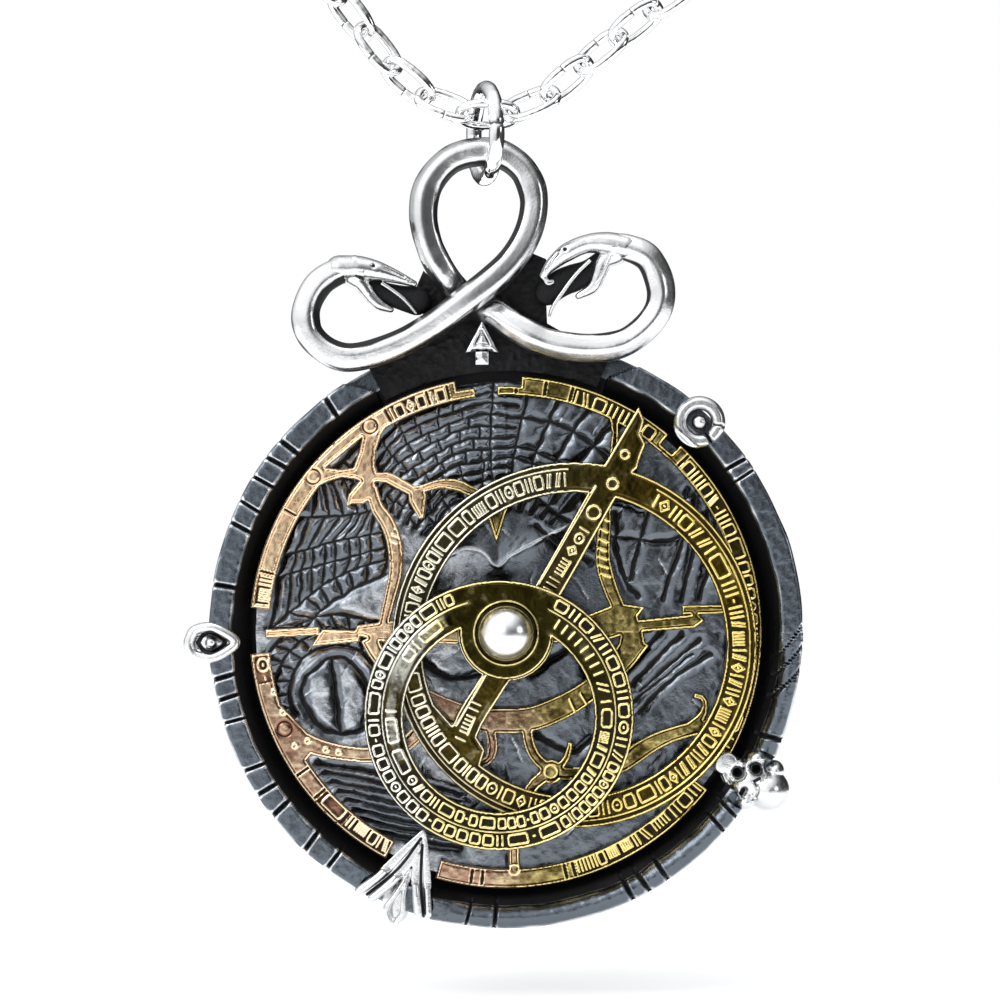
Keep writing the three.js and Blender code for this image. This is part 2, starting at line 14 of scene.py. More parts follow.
import bpy
import numpy as np
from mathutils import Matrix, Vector

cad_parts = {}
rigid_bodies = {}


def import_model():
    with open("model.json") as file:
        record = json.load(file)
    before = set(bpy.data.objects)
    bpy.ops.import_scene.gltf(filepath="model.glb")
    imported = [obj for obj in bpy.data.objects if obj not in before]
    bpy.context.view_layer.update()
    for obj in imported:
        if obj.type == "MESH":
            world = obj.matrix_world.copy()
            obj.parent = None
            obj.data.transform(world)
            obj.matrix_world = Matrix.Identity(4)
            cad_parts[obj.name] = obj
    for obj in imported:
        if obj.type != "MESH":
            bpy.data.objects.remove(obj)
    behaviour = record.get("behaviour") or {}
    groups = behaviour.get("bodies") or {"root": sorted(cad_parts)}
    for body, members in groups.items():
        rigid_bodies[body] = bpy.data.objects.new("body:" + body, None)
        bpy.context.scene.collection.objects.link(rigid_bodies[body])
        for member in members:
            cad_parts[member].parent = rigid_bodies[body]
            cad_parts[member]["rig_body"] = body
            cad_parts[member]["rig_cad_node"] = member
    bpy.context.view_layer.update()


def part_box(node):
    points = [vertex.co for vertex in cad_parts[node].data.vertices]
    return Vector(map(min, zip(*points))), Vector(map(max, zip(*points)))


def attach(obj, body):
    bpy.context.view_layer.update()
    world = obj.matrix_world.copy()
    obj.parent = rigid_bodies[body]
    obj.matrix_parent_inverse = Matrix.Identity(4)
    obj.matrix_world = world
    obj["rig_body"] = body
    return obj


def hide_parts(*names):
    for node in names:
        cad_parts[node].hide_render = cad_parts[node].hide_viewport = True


LOG = logging.getLogger("astrolabe")
MM = 0.001

Colour = tuple[float, float, float]
Point = tuple[float, float]
Point3 = tuple[float, float, float]


# ---- shader maths


class Sock:
    """An output socket, with Python's operators turned into Math nodes."""

    def __init__(self, sheet: "NodeSheet", socket: bpy.types.NodeSocket) -> None:
        """Keeps the node sheet and the socket."""
        self.sheet = sheet
        self.socket = socket

    def _math(self, operation: str, *values: "Sock | float") -> "Sock":
        """Adds one Math node and returns its output."""
        return self.sheet.node("ShaderNodeMath", {"operation": operation}, dict(enumerate(values)))

    def __add__(self, other: "Sock | float") -> "Sock":
        """Sum."""
        return self._math("ADD", self, other)

    def __sub__(self, other: "Sock | float") -> "Sock":
        """Difference."""
        return self._math("SUBTRACT", self, other)

    def __rsub__(self, other: float) -> "Sock":
        """Difference, reflected."""
        return self._math("SUBTRACT", other, self)

    def __mul__(self, other: "Sock | float") -> "Sock":
        """Product."""
        return self._math("MULTIPLY", self, other)

    def above(self, low: float, high: float) -> "Sock":
        """Rises smoothly from 0 at low to 1 at high.

        Args:
            low: the value that gives 0.
            high: the value that gives 1.

        Returns:
            The smoothed step.
        """
        settings = {"interpolation_type": "SMOOTHSTEP"}
        return self.sheet.node("ShaderNodeMapRange", settings,
                               {"Value": self, "From Min": low, "From Max": high})

    def clamped(self) -> "Sock":
        """Keeps the value between 0 and 1."""
        return self.sheet.node("ShaderNodeClamp", {}, {"Value": self})


class NodeSheet:
    """The node tree of one material or world, cleared and ready to draw on."""

    def __init__(self, tree: bpy.types.NodeTree) -> None:
        """Empties the tree.

        Args:
            tree: the tree of a material or a world.
        """
        self.tree = tree
        tree.nodes.clear()

    def node(self, kind: str, settings: dict[str, object], inputs: dict[object, object],
             output: object = None) -> Sock:
        """Adds any node: its settings first, then the values or links of its sockets.

        Args:
            kind: the node's type name.
            settings: attributes to set, such as an operation.
            inputs: socket names or indices, with a number, a colour, a vector or a Sock.
            output: the name or index of the output to return, or None for the first enabled one.

        Returns:
            The chosen output, wrapped.
        """
        made = self.tree.nodes.new(kind)
        for key, value in settings.items():
            setattr(made, key, value)
        for key, value in inputs.items():
            target = self._input(made, key)
            if isinstance(value, Sock):
                self.tree.links.new(value.socket, target)
            else:
                target.default_value = value
        if output is not None:
            return Sock(self, made.outputs[output])
        live = [s for s in made.outputs if s.enabled]
        return Sock(self, live[0]) if live else None

    @staticmethod
    def _input(made: bpy.types.Node, key: object) -> bpy.types.NodeSocket:
        """Finds an enabled input by its name, or any by its index.

        Args:
            made: the node.
            key: the input's name or index.

        Returns:
            The input socket.
        """
        if isinstance(key, int):
            return made.inputs[key]
        return next(s for s in made.inputs if s.name == key and s.enabled)

    def mix(self, factor: Sock | float, first: object, second: object) -> Sock:
        """Mixes two colours.

        Args:
            factor: 0 gives the first and 1 the second.
            first: a colour or a Sock.
            second: a colour or a Sock.

        Returns:
            The mixed colour.
        """
        pair = [c if isinstance(c, Sock) else (*c, 1.0) for c in (first, second)]
        settings = {"data_type": "RGBA"}
        return self.node("ShaderNodeMix", settings, {"Factor": factor, "A": pair[0], "B": pair[1]})

    def blend(self, factor: Sock | float, first: float, second: float) -> Sock:
        """Runs from one number to another as the factor runs from 0 to 1."""
        return factor * (second - first) + first

    def noise(self, scale: float, detail: float = 3.0, roughness: float = 0.55) -> Sock:
        """Noise fixed to the piece itself, at a scale given per metre.

        Args:
            scale: cells per metre.
            detail: how many finer layers it has.
            roughness: how strong the finer layers are.

        Returns:
            A value about 0.5.
        """
        place = self.node("ShaderNodeTexCoord", {}, {}, "Object")
        values = {"Vector": place, "Scale": scale, "Detail": detail, "Roughness": roughness}
        return self.node("ShaderNodeTexNoise", {"normalize": True}, values, "Fac")

    def attribute(self, name: str) -> Sock:
        """A number that the mesh carries at its points."""
        return self.node("ShaderNodeAttribute", {"attribute_name": name}, {}, "Fac")

    def bump(self, height: Sock, strength: float, distance: float) -> Sock:
        """Turns a height into a surface direction, with the distance in metres."""
        return self.node("ShaderNodeBump", {}, {"Height": height, "Strength": strength, "Distance": distance})


# ---- finishes


@dataclass(frozen=True)
class CastFinish:
    """Cast pewter or silver: bright where hands polish it and where highlights are painted, dark oxide in its
    recesses and dark where shade is painted.
    """

    name: str
    bright: Colour
    dark: Colour
    polish: float = 0.2
    dull: float = 0.6
    dark_metal: float = 0.6
    grain: float = 0.25
    grain_scale: float = 2600.0
    speckle: float = 0.3
    worn: Colour = (0.8, 0.8, 0.81)

    def make(self) -> bpy.types.Material:
        """Builds the material.

        Returns:
            The material, which reads the "hollow" value of each piece.
        """
        material = bpy.data.materials.new(self.name)
        material.use_nodes = True
        sheet = NodeSheet(material.node_tree)
        fine = sheet.noise(self.grain_scale, 4.0, 0.65)
        broad = sheet.noise(self.grain_scale * 0.12, 2.0, 0.4)
        hollow = sheet.attribute("hollow") + (fine - 0.5) * self.speckle + (broad - 0.5) * self.speckle * 0.6
        # The oxide colour darkens real recesses and also the painted shade that the serpent and tongue pieces
        # mark.
        oxide = hollow.above(0.25, 0.75)
        tarnish = broad.above(0.45, 0.75) * 0.25
        plain_metal = sheet.mix(tarnish, self.bright, tuple(0.72 * c for c in self.bright))
        # The bright colour stands for polish on raised parts and for the painted highlights that some pieces
        # mark.
        worn = (sheet.attribute("worn") + (fine - 0.5) * 0.3).above(0.35, 0.8)
        metal = sheet.mix(worn, plain_metal, self.worn)
        values = {
            "Base Color": sheet.mix(oxide, metal, self.dark),
            "Roughness": (sheet.blend(oxide, self.polish, self.dull) + (broad - 0.5) * 0.12).clamped(),
            "Metallic": sheet.blend(oxide, 1.0, self.dark_metal),
            "Normal": sheet.bump(fine + broad * 0.8, self.grain, 0.00006),
        }
        shader = sheet.node("ShaderNodeBsdfPrincipled", {}, values)
        sheet.node("ShaderNodeOutputMaterial", {}, {"Surface": shader})
        return material


@dataclass(frozen=True)
class EtchedFinish:
    """Etched brass sheet whose tone runs from one side of the dial to the other."""

    name: str
    near_line: Colour
    far_line: Colour
    near_flat: Colour
    far_flat: Colour
    pit: Colour
    heading: float
    start: float
    stop: float
    flat_polish: float
    low_flat: Colour
    low_shift: float

    def make(self, dial: "Dial") -> bpy.types.Material:
        """Builds the material.

        Args:
            dial: where the dial stands, so that the tones keep to their place on the plate.

        Returns:
            The material, which reads each piece's "raised" and "hollow" values.
        """
        material = bpy.data.materials.new(self.name)
        material.use_nodes = True
        sheet = NodeSheet(material.node_tree)
        place = sheet.node("ShaderNodeTexCoord", {}, {}, "Object")
        parts = {axis: sheet.node("ShaderNodeSeparateXYZ", {}, {"Vector": place}, axis) for axis in "XZ"}
        turn = math.radians(self.heading)
        up = (parts["Z"] - dial.axis_z) * (1.0 / MM)
        across = (parts["X"] - dial.axis_x) * (math.cos(turn) / MM) + up * math.sin(turn)
        cloud = sheet.noise(420.0, 3.0, 0.6)
        patch = sheet.noise(900.0, 2.0, 0.5)
        fine = sheet.noise(3600.0, 3.0, 0.7)
        lower = (up + (cloud - 0.5) * 6.0).above(-1.0, -5.0)
        tone = (across + (cloud - 0.5) * 5.0 - lower * self.low_shift).above(self.start, self.stop)
        raised = sheet.attribute("raised") + (fine - 0.5) * 0.16
        hollow = sheet.attribute("hollow") + (fine - 0.5) * 0.3 + (cloud - 0.5) * 0.4
        line = sheet.mix(tone, self.near_line, self.far_line)
        near = sheet.mix(lower, self.near_flat, self.low_flat)
        flat = sheet.mix(tone, near, self.far_flat)
        shaded = sheet.mix(patch.above(0.5, 0.62) * (tone * 0.5 + 0.06), flat, self.pit)
        glint = sheet.mix(patch.above(0.42, 0.3) * 0.14, shaded, line)
        etched = sheet.mix(raised.above(0.5, 0.85), glint, line)
        pitted = hollow.above(0.3, 0.8)
        rough = sheet.blend(raised.above(0.5, 0.9), self.flat_polish, 0.2)
        values = {
            "Base Color": sheet.mix(pitted, etched, self.pit),
            "Roughness": (rough + pitted * 0.3 + (fine - 0.5) * 0.1).clamped(),
            "Metallic": sheet.blend(pitted, 1.0, 0.7),
            "Normal": sheet.bump(fine + cloud * 2.0, 0.22, 0.00005),
        }
        shader = sheet.node("ShaderNodeBsdfPrincipled", {}, values)
        sheet.node("ShaderNodeOutputMaterial", {}, {"Surface": shader})
        return material


class Metal(Enum):
    """The pendant's cast and plated finishes."""

    RIM = CastFinish("blackened rim pewter", (0.13, 0.15, 0.175),
                     (0.01, 0.01, 0.011), 0.25, 0.5, 0.6, 0.5, 4200.0,
                     0.7, (0.72, 0.75, 0.79))
    GROUND = CastFinish("engraved ground pewter", (0.15, 0.168, 0.19),
                        (0.006, 0.006, 0.007), 0.2, 0.55, 0.5, 0.4,
                        4200.0, 0.2, (0.62, 0.65, 0.69))
    CHASM = CastFinish("black oxide pewter", (0.025, 0.025, 0.027),
                       (0.005, 0.005, 0.005), 0.38, 0.7, 0.4, 1.0, 6500.0,
                       0.5, (0.22, 0.22, 0.23))
    SERPENT = CastFinish("polished serpent pewter", (0.76, 0.765, 0.77), (0.02, 0.02, 0.021), 0.22, 0.5, 0.5,
                         0.34, 2400.0, 0.34)
    BOSS = CastFinish("polished boss pewter", (0.80, 0.81, 0.82),
                      (0.012, 0.012, 0.014), 0.24, 0.55, 0.5, 0.4, 3000.0, 0.4)
    DOME = CastFinish("mirror silver dome", (0.93, 0.93, 0.94),
                      (0.1, 0.1, 0.1), 0.26, 0.3, 1.0, 0.06, 1800.0, 0.1)
    CHAIN = CastFinish("bright silver plate", (0.95, 0.95, 0.955),
                       (0.12, 0.12, 0.12), 0.08, 0.35, 0.8, 0.05, 2200.0, 0.2)


class Brass(Enum):
    """The tones of the etched plates."""

    RETE = EtchedFinish("rose and gold rete brass", (1.0, 0.83, 0.56), (1.0, 0.80, 0.30), (0.98, 0.66, 0.40),
                        (0.075, 0.054, 0.009), (0.014, 0.009, 0.003),
                        0.0, -7.5, -0.5, 0.17, (0.3, 0.15, 0.1), 5.0)
    RULE = EtchedFinish("gold rule brass", (0.93, 0.88, 0.68), (1.0, 0.78, 0.24), (0.06, 0.058, 0.025),
                        (0.1, 0.066, 0.008), (0.014, 0.01, 0.003), -20.0, -6.0, 10.0, 0.2,
                        (0.07, 0.052, 0.012), 0.0)
    # The pale silvery flats on the left of the label ring are partly a paler tone and partly a painted sheen.
    LABEL = EtchedFinish("pale gold label brass", (0.95, 0.93, 0.83), (1.0, 0.84, 0.38), (0.62, 0.62, 0.55),
                         (0.05, 0.041, 0.008), (0.012, 0.009, 0.003), 0.0, -8.6, -4.0, 0.2,
                         (0.05, 0.038, 0.008), 0.0)


# ---- lines and noise


def polar(centre: Point, radius: float, degrees: float) -> Point:
    """A point at a radius and angle about a centre."""
    turn = math.radians(degrees)
    return centre[0] + radius * math.cos(turn), centre[1] + radius * math.sin(turn)


def smooth_line(points: Sequence[Sequence[float]], per: int = 8) -> np.ndarray:
    """Runs a smooth line through points.

    Args:
        points: the points to pass through.
        per: how many steps to take between two of them.

    Returns:
        The line's points, one row each.
    """
    given = np.asarray(points, float)
    padded = np.vstack([2 * given[0] - given[1], given, 2 * given[-1] - given[-2]])
    t = np.linspace(0, 1, per, endpoint=False)[:, None]
    rows = []
    for i in range(len(given) - 1):
        a, b, c, d = padded[i:i + 4]
        rows.append(0.5 * (2 * b + (c - a) * t + (2 * a - 5 * b + 4 * c - d) * t ** 2
                           + (3 * b - a - 3 * c + d) * t ** 3))
    return np.vstack([*rows, given[-1:]])


def segments_of(points: Sequence[Sequence[float]], closed: bool = False) -> np.ndarray:
    """Turns a line of points into rows of x0, y0, x1, y1."""
    line = np.vstack([points, points[:1]]) if closed else np.asarray(points, float)
    return np.hstack([line[:-1, :2], line[1:, :2]])


def grain(x: np.ndarray, y: np.ndarray, size: float, seed: int) -> np.ndarray:
    """Smooth random unevenness between -1 and 1.

    Args:
        x: places along the first direction, in millimetres.
        y: places along the second direction.
        size: the spacing of the bumps.
        seed: picks one pattern.

    Returns:
        A value for each place.
    """
    lattice = np.random.default_rng(seed).uniform(-1, 1, (257, 257))
    u, v = np.asarray(x) / size, np.asarray(y) / size
    iu, iv = np.floor(u).astype(int), np.floor(v).astype(int)
    fu, fv = u - iu, v - iv
    fu, fv = fu * fu * (3 - 2 * fu), fv * fv * (3 - 2 * fv)
    iu, iv = iu % 256, iv % 256
    low = lattice[iu, iv] * (1 - fu) + lattice[iu + 1, iv] * fu
    high = lattice[iu, iv + 1] * (1 - fu) + lattice[iu + 1, iv + 1] * fu
    return low * (1 - fv) + high * fv


def step(value: np.ndarray, low: float, high: float) -> np.ndarray:
    """Rises smoothly from 0 at low to 1 at high, for arrays."""
    t = np.clip((value - low) / (high - low), 0, 1)
    return t * t * (3 - 2 * t)


# ---- placing and making pieces


@dataclass
class Dial:
    """Where the dial stands, and the record of what was made on it."""

    axis_x: float
    axis_z: float
    back: float
    made: list[str] = field(default_factory=list)

    @classmethod
    def from_frame(cls) -> "Dial":
        """Reads the dial's place from the rivet and the case."""
        low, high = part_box("rivet")
        return cls((low.x + high.x) / 2, (low.z + high.z) / 2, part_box("mater_case")[1].y)

    def place(self, points: np.ndarray) -> np.ndarray:
        """Dial millimetres to row metres."""
        p = np.asarray(points, float)
        return np.stack([self.axis_x + p[:, 0] * MM, self.back - p[:, 2] * MM, self.axis_z + p[:, 1] * MM], 1)

    def unplace(self, points: np.ndarray) -> np.ndarray:
        """Row metres to dial millimetres."""
        x, y, z = np.asarray(points, float).T
        return np.stack([(x - self.axis_x) / MM, (z - self.axis_z) / MM, (self.back - y) / MM], 1)

    def piece(self, name: str, shell: "Shell", material: bpy.types.Material, body: str,
              stands_for: Iterable[str] = (), crease: float = 50.0) -> bpy.types.Object:
        """Turns a shell into a finished object that rides on a body.

        Args:
            name: the piece's name.
            shell: its points and faces, in dial millimetres.
            material: its finish.
            body: the CAD body that it moves with.
            stands_for: CAD nodes that it is shown instead of.
            crease: edges sharper than this many degrees stay crisp.

        Returns:
            The new object.
        """
        mesh = bpy.data.meshes.new(name)
        mesh.from_pydata(self.place(shell.points).tolist(), [], shell.faces)
        mesh.validate()
        for key, values in shell.marks.items():
            mesh.attributes.new(key, "FLOAT", "POINT").data.foreach_set("value", values.astype(np.float32))
        mesh.shade_smooth()
        mesh.set_sharp_from_angle(angle=math.radians(crease))
        mesh.materials.append(material)
        made = bpy.data.objects.new(name, mesh)
        bpy.context.scene.collection.objects.link(made)
        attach(made, body)
        if stands_for:
            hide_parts(*stands_for)
        self.made.append(name)
        LOG.info("%s: %d points, rides on %s", name, len(mesh.vertices), body)
        return made


@dataclass
class Shell:
    """Points, faces and per-point marks of one piece, in dial millimetres."""

    points: np.ndarray
    faces: list[Sequence[int]]
    marks: dict[str, np.ndarray] = field(default_factory=dict)

    @classmethod
    def joined(cls, shells: Sequence["Shell"]) -> "Shell":
        """Puts several shells into one, keeping the marks they all carry.

        Args:
            shells: the shells to put together.

        Returns:
            The one shell.
        """
        start = np.cumsum([0] + [len(s.points) for s in shells])
        faces = [[i + int(first) for i in face] for s, first in zip(shells, start) for face in s.faces]
        shared = set.intersection(*(set(s.marks) for s in shells))
        marks = {key: np.concatenate([s.marks[key] for s in shells]) for key in shared}
        return cls(np.vstack([s.points for s in shells]), faces, marks)

    def edges(self) -> np.ndarray:
        """Each face's edges as rows of two point numbers.

        Returns:
            One row for each edge.
        """
        rows = [np.asarray([f for f in self.faces if len(f) == n]) for n in (3, 4)]
        pairs = [np.stack([r, np.roll(r, -1, 1)], 2).reshape(-1, 2) for r in rows if len(r)]
        return np.vstack(pairs)

    def normals(self) -> np.ndarray:
        """The surface direction at each point.

        Returns:
            Unit vectors, one row each.
        """
        total = np.zeros_like(self.points)
        for count in (3, 4):
            rows = np.asarray([f for f in self.faces if len(f) == count])
            if not len(rows):
                continue
            p = self.points[rows]
            across = np.cross(p[:, 2] - p[:, 0], p[:, -1] - p[:, 1]) if count == 4 else np.cross(
                p[:, 1] - p[:, 0], p[:, 2] - p[:, 0])
            for k in range(count):
                for axis in range(3):
                    total[:, axis] += np.bincount(rows[:, k], across[:, axis], len(total))
        return total / np.maximum(np.linalg.norm(total, axis=1, keepdims=True), 1e-12)

    def age(self, reach: int, depth: float) -> "Shell":
        """Marks the hollows, where oxide stays when the piece is polished.

        Args:
            reach: how many rounds of averaging tell a hollow from its surroundings.
            depth: how deep a hollow is fully black, in millimetres.

        Returns:
            The same shell, with its "hollow" mark.
        """
        pairs = self.edges()
        pairs = np.vstack([pairs, pairs[:, ::-1]])
        count = np.maximum(np.bincount(pairs[:, 0], minlength=len(self.points)), 1)
        soft = self.points.copy()
        for _ in range(reach):
            soft = np.stack([np.bincount(pairs[:, 0], soft[pairs[:, 1], k], len(soft)) / count
                             for k in range(3)], 1)
        rise = np.einsum("ij,ij->i", soft - self.points, self.normals())
        self.marks["hollow"] = np.clip(rise / depth, 0, 1)
        return self


def swept(line: np.ndarray, radii: np.ndarray, sides: int = 24, tall: float = 1.0,
          closed: bool = False) -> Shell:
    """Draws a round or oval wire along a line.

    Args:
        line: the points of its middle.
        radii: its radius at each of them.
        sides: how many points go round it.
        tall: its height over its width.
        closed: whether it comes back to its start.

    Returns:
        The closed wire.
    """
    ahead = np.roll(line, -1, 0) - np.roll(line, 1, 0)
    if not closed:
        ahead[0], ahead[-1] = line[1] - line[0], line[-1] - line[-2]
    ahead /= np.maximum(np.linalg.norm(ahead, axis=1, keepdims=True), 1e-9)
    side = np.cross((0, 0, 1.0), ahead)
    side /= np.maximum(np.linalg.norm(side, axis=1, keepdims=True), 1e-9)
    top = np.cross(ahead, side)
    turn = np.linspace(0, 2 * np.pi, sides, endpoint=False)
    ring = side[:, None] * np.cos(turn)[None, :, None] + top[:, None] * (tall * np.sin(turn))[None, :, None]
    points = (line[:, None] + ring * radii[:, None, None]).reshape(-1, 3)
    n = len(line)
    faces = []
    for i in range(n if closed else n - 1):
        a, b = i * sides, ((i + 1) % n) * sides
        faces += [(a + k, b + k, b + (k + 1) % sides, a + (k + 1) % sides) for k in range(sides)]
    faces = [tuple(reversed(f)) for f in faces]
    if not closed:
        first, last = len(points), len(points) + 1
        points = np.vstack([points, line[:1], line[-1:]])
        faces += [(first, k, (k + 1) % sides) for k in range(sides)]
        faces += [(last, (n - 1) * sides + (k + 1) % sides, (n - 1) * sides + k) for k in range(sides)]
    return Shell(points, faces)


def turned(profile: Sequence[Point], centre: Point3, count: int = 96) -> Shell:
    """Turns a profile of radius and height about an upright axis, from the bottom pole to the top one.

    Args:
        profile: rows of radius and height.
        centre: its middle.
        count: how many points go round.

    Returns:
        The closed solid.
    """
    rows = np.asarray(profile, float)
    turn = np.linspace(0, 2 * np.pi, count, endpoint=False)
    points = [(centre[0] + r * math.cos(a), centre[1] + r * math.sin(a), centre[2] + z) for r, z in rows
              for a in turn]
    faces = []
    for i in range(len(rows) - 1):
        a, b = i * count, (i + 1) * count
        faces += [(a + k, a + (k + 1) % count, b + (k + 1) % count, b + k) for k in range(count)]
    faces += [tuple(reversed(range(count))), tuple(range((len(rows) - 1) * count, len(rows) * count))]
    return Shell(np.asarray(points), faces)


# ---- low relief


class Plot:
    """A fine grid over part of the dial that low relief is worked on."""

    def __init__(self, low: Point, high: Point, pitch: float) -> None:
        """Lays out the grid.

        Args:
            low: its lower left corner.
            high: its upper right corner.
            pitch: the spacing of its points.
        """
        self.low = low
        self.pitch = pitch
        columns = np.arange(low[0], high[0] + pitch, pitch)
        rows = np.arange(low[1], high[1] + pitch, pitch)
        self.x, self.y = np.meshgrid(columns, rows)

    def _span(self, a: float, b: float, axis: int, reach: float) -> slice:
        """The rows or columns within reach of a stretch.

        Args:
            a: one end.
            b: the other end.
            axis: 0 for columns, 1 for rows.
            reach: how far beyond it counts.

        Returns:
            The slice.
        """
        count = self.x.shape[1 - axis]
        first = int((min(a, b) - reach - self.low[axis]) / self.pitch)
        last = int((max(a, b) + reach - self.low[axis]) / self.pitch) + 2
        return slice(min(max(first, 0), count), min(max(last, 0), count))

    def distance(self, segments: np.ndarray, reach: float) -> np.ndarray:
        """How far each point is from the nearest line.

        Args:
            segments: rows of x0, y0, x1, y1.
            reach: distances beyond this are cut to it.

        Returns:
            The distances, in millimetres.
        """
        out = np.full(self.x.shape, reach)
        for x0, y0, x1, y1 in segments:
            window = (self._span(y0, y1, 1, reach), self._span(x0, x1, 0, reach))
            px, py = self.x[window] - x0, self.y[window] - y0
            dx, dy = x1 - x0, y1 - y0
            t = np.clip((px * dx + py * dy) / max(dx * dx + dy * dy, 1e-12), 0, 1)
            out[window] = np.minimum(out[window], np.hypot(px - t * dx, py - t * dy))
        return out

    def inside(self, segments: np.ndarray) -> np.ndarray:
        """Which points the closed outlines enclose.

        Args:
            segments: rows of x0, y0, x1, y1.

        Returns:
            True for each point inside.
        """
        rows, columns = self.x.shape
        flips = np.zeros((rows, columns + 1), bool)
        for x0, y0, x1, y1 in segments:
            if y0 > y1:
                x0, y0, x1, y1 = x1, y1, x0, y0
            first = max(math.ceil((y0 - self.low[1]) / self.pitch), 0)
            last = min(math.ceil((y1 - self.low[1]) / self.pitch), rows)
            if first >= last:
                continue
            at = np.arange(first, last)
            cross = x0 + (self.low[1] + at * self.pitch - y0) / (y1 - y0) * (x1 - x0)
            flips[at, np.clip(np.ceil((cross - self.low[0]) / self.pitch).astype(int), 0, columns)] ^= True
        return np.logical_xor.accumulate(flips, axis=1)[:, :-1]

    def depth_inside(self, segments: np.ndarray, reach: float = 1.2) -> np.ndarray:
        """The distance in from the outline, negative outside it."""
        away = self.distance(segments, reach)
        return np.where(self.inside(segments), away, -away)

    def softened(self, height: np.ndarray, reach: float) -> np.ndarray:
        """Averages a height over a square neighbourhood, twice.

        Args:
            height: a height at each point.
            reach: half the side of the square.

        Returns:
            The averaged height.
        """
        n = max(int(round(reach / self.pitch)), 1)
        out = height
        for _ in range(2):
            for axis in (0, 1):
                pad = [(n + 1, n) if a == axis else (0, 0) for a in (0, 1)]
                total = np.cumsum(np.pad(out, pad, mode="edge"), axis=axis)
                size = out.shape[axis]
                ahead = np.take(total, range(2 * n + 1, 2 * n + 1 + size), axis=axis)
                out = (ahead - np.take(total, range(size), axis=axis)) / (2 * n + 1)
        return out

    def skin(self, depth: np.ndarray, height: np.ndarray, floor: float, skirt: float, full: float,
             hollow: float, rub_and_highlight: np.ndarray | None = None) -> Shell:
        """Cuts the relief to its outline.

        Args:
            depth: the distance in from the outline.
            height: the relief's height over the plate.
            floor: the plate's own height on the dial.
            skirt: how far its edge turns down.
            full: the height that counts as fully raised.
            hollow: how far under its surroundings a point is fully dark.
            rub_and_highlight: how bright each point is made by polish and by painted highlight, if the finish
                shows either.

        Returns:
            The skin, with its "raised" and "hollow" marks, and "worn" where wear is given.
        """
        slope_y, slope_x = np.gradient(depth, self.pitch)
        steep = np.maximum(np.hypot(slope_x, slope_y), 0.5)
        pull = np.where(np.abs(depth) < 0.62 * self.pitch, depth - 0.012, 0.0) / steep ** 2
        x, y = self.x - pull * slope_x, self.y - pull * slope_y
        solid = depth > -0.62 * self.pitch
        cell = solid[:-1, :-1] & solid[1:, :-1] & solid[1:, 1:] & solid[:-1, 1:]
        touched = [depth[:-1, :-1], depth[1:, :-1], depth[1:, 1:], depth[:-1, 1:]]
        cell &= np.maximum.reduce(touched) > 0.3 * self.pitch
        number = np.arange(depth.size).reshape(depth.shape)
        quads = np.stack([number[:-1, :-1], number[:-1, 1:], number[1:, 1:], number[1:, :-1]], 2)[cell]
        used = np.unique(quads)
        renumber = np.full(depth.size, -1)
        renumber[used] = np.arange(len(used))
        quads = renumber[quads]
        points = np.stack([x.ravel()[used], y.ravel()[used], floor + height.ravel()[used]], 1)
        around = self.softened(height, 0.32)
        raised = np.clip(height / full, 0, 1).ravel()[used]
        sunk = np.clip((around - height) / hollow, 0, 1).ravel()[used]
        pairs = np.stack([quads, np.roll(quads, -1, 1)], 2).reshape(-1, 2)
        keys = {(a, b) for a, b in pairs.tolist()}
        rim = [(a, b) for a, b in keys if (b, a) not in keys]
        lip = sorted({a for pair in rim for a in pair})
        lower = {a: len(points) + i for i, a in enumerate(lip)}
        drop = points[lip] * (1, 1, 0) + (0, 0, floor - skirt)
        faces = quads.tolist() + [(b, a, lower[a], lower[b]) for a, b in rim]
        marks = {"raised": np.concatenate([raised, raised[lip]]), "hollow": np.concatenate([sunk, sunk[lip]])}
        if rub_and_highlight is not None:
            rubbed_and_lit = rub_and_highlight.ravel()[used]
            marks["worn"] = np.concatenate([rubbed_and_lit, rubbed_and_lit[lip]])
        return Shell(np.vstack([points, drop]), faces, marks)


class Mark(Enum):
    """The plain marks struck along a plate's tracks."""

    CELL = "c"
    TICK = "i"
    RING = "o"
    SLANT = "z"
    DIAMOND = "u"
    DOT = "d"
    COMB = "h"
    BAR = "b"
    GAP = " "


MARK_LENGTHS = {
    Mark.CELL: 1.1, Mark.TICK: 0.42, Mark.RING: 1.0, Mark.SLANT: 0.9, Mark.DIAMOND: 1.0, Mark.DOT: 0.5,
    Mark.COMB: 1.7, Mark.BAR: 2.2, Mark.GAP: 0.45,
}


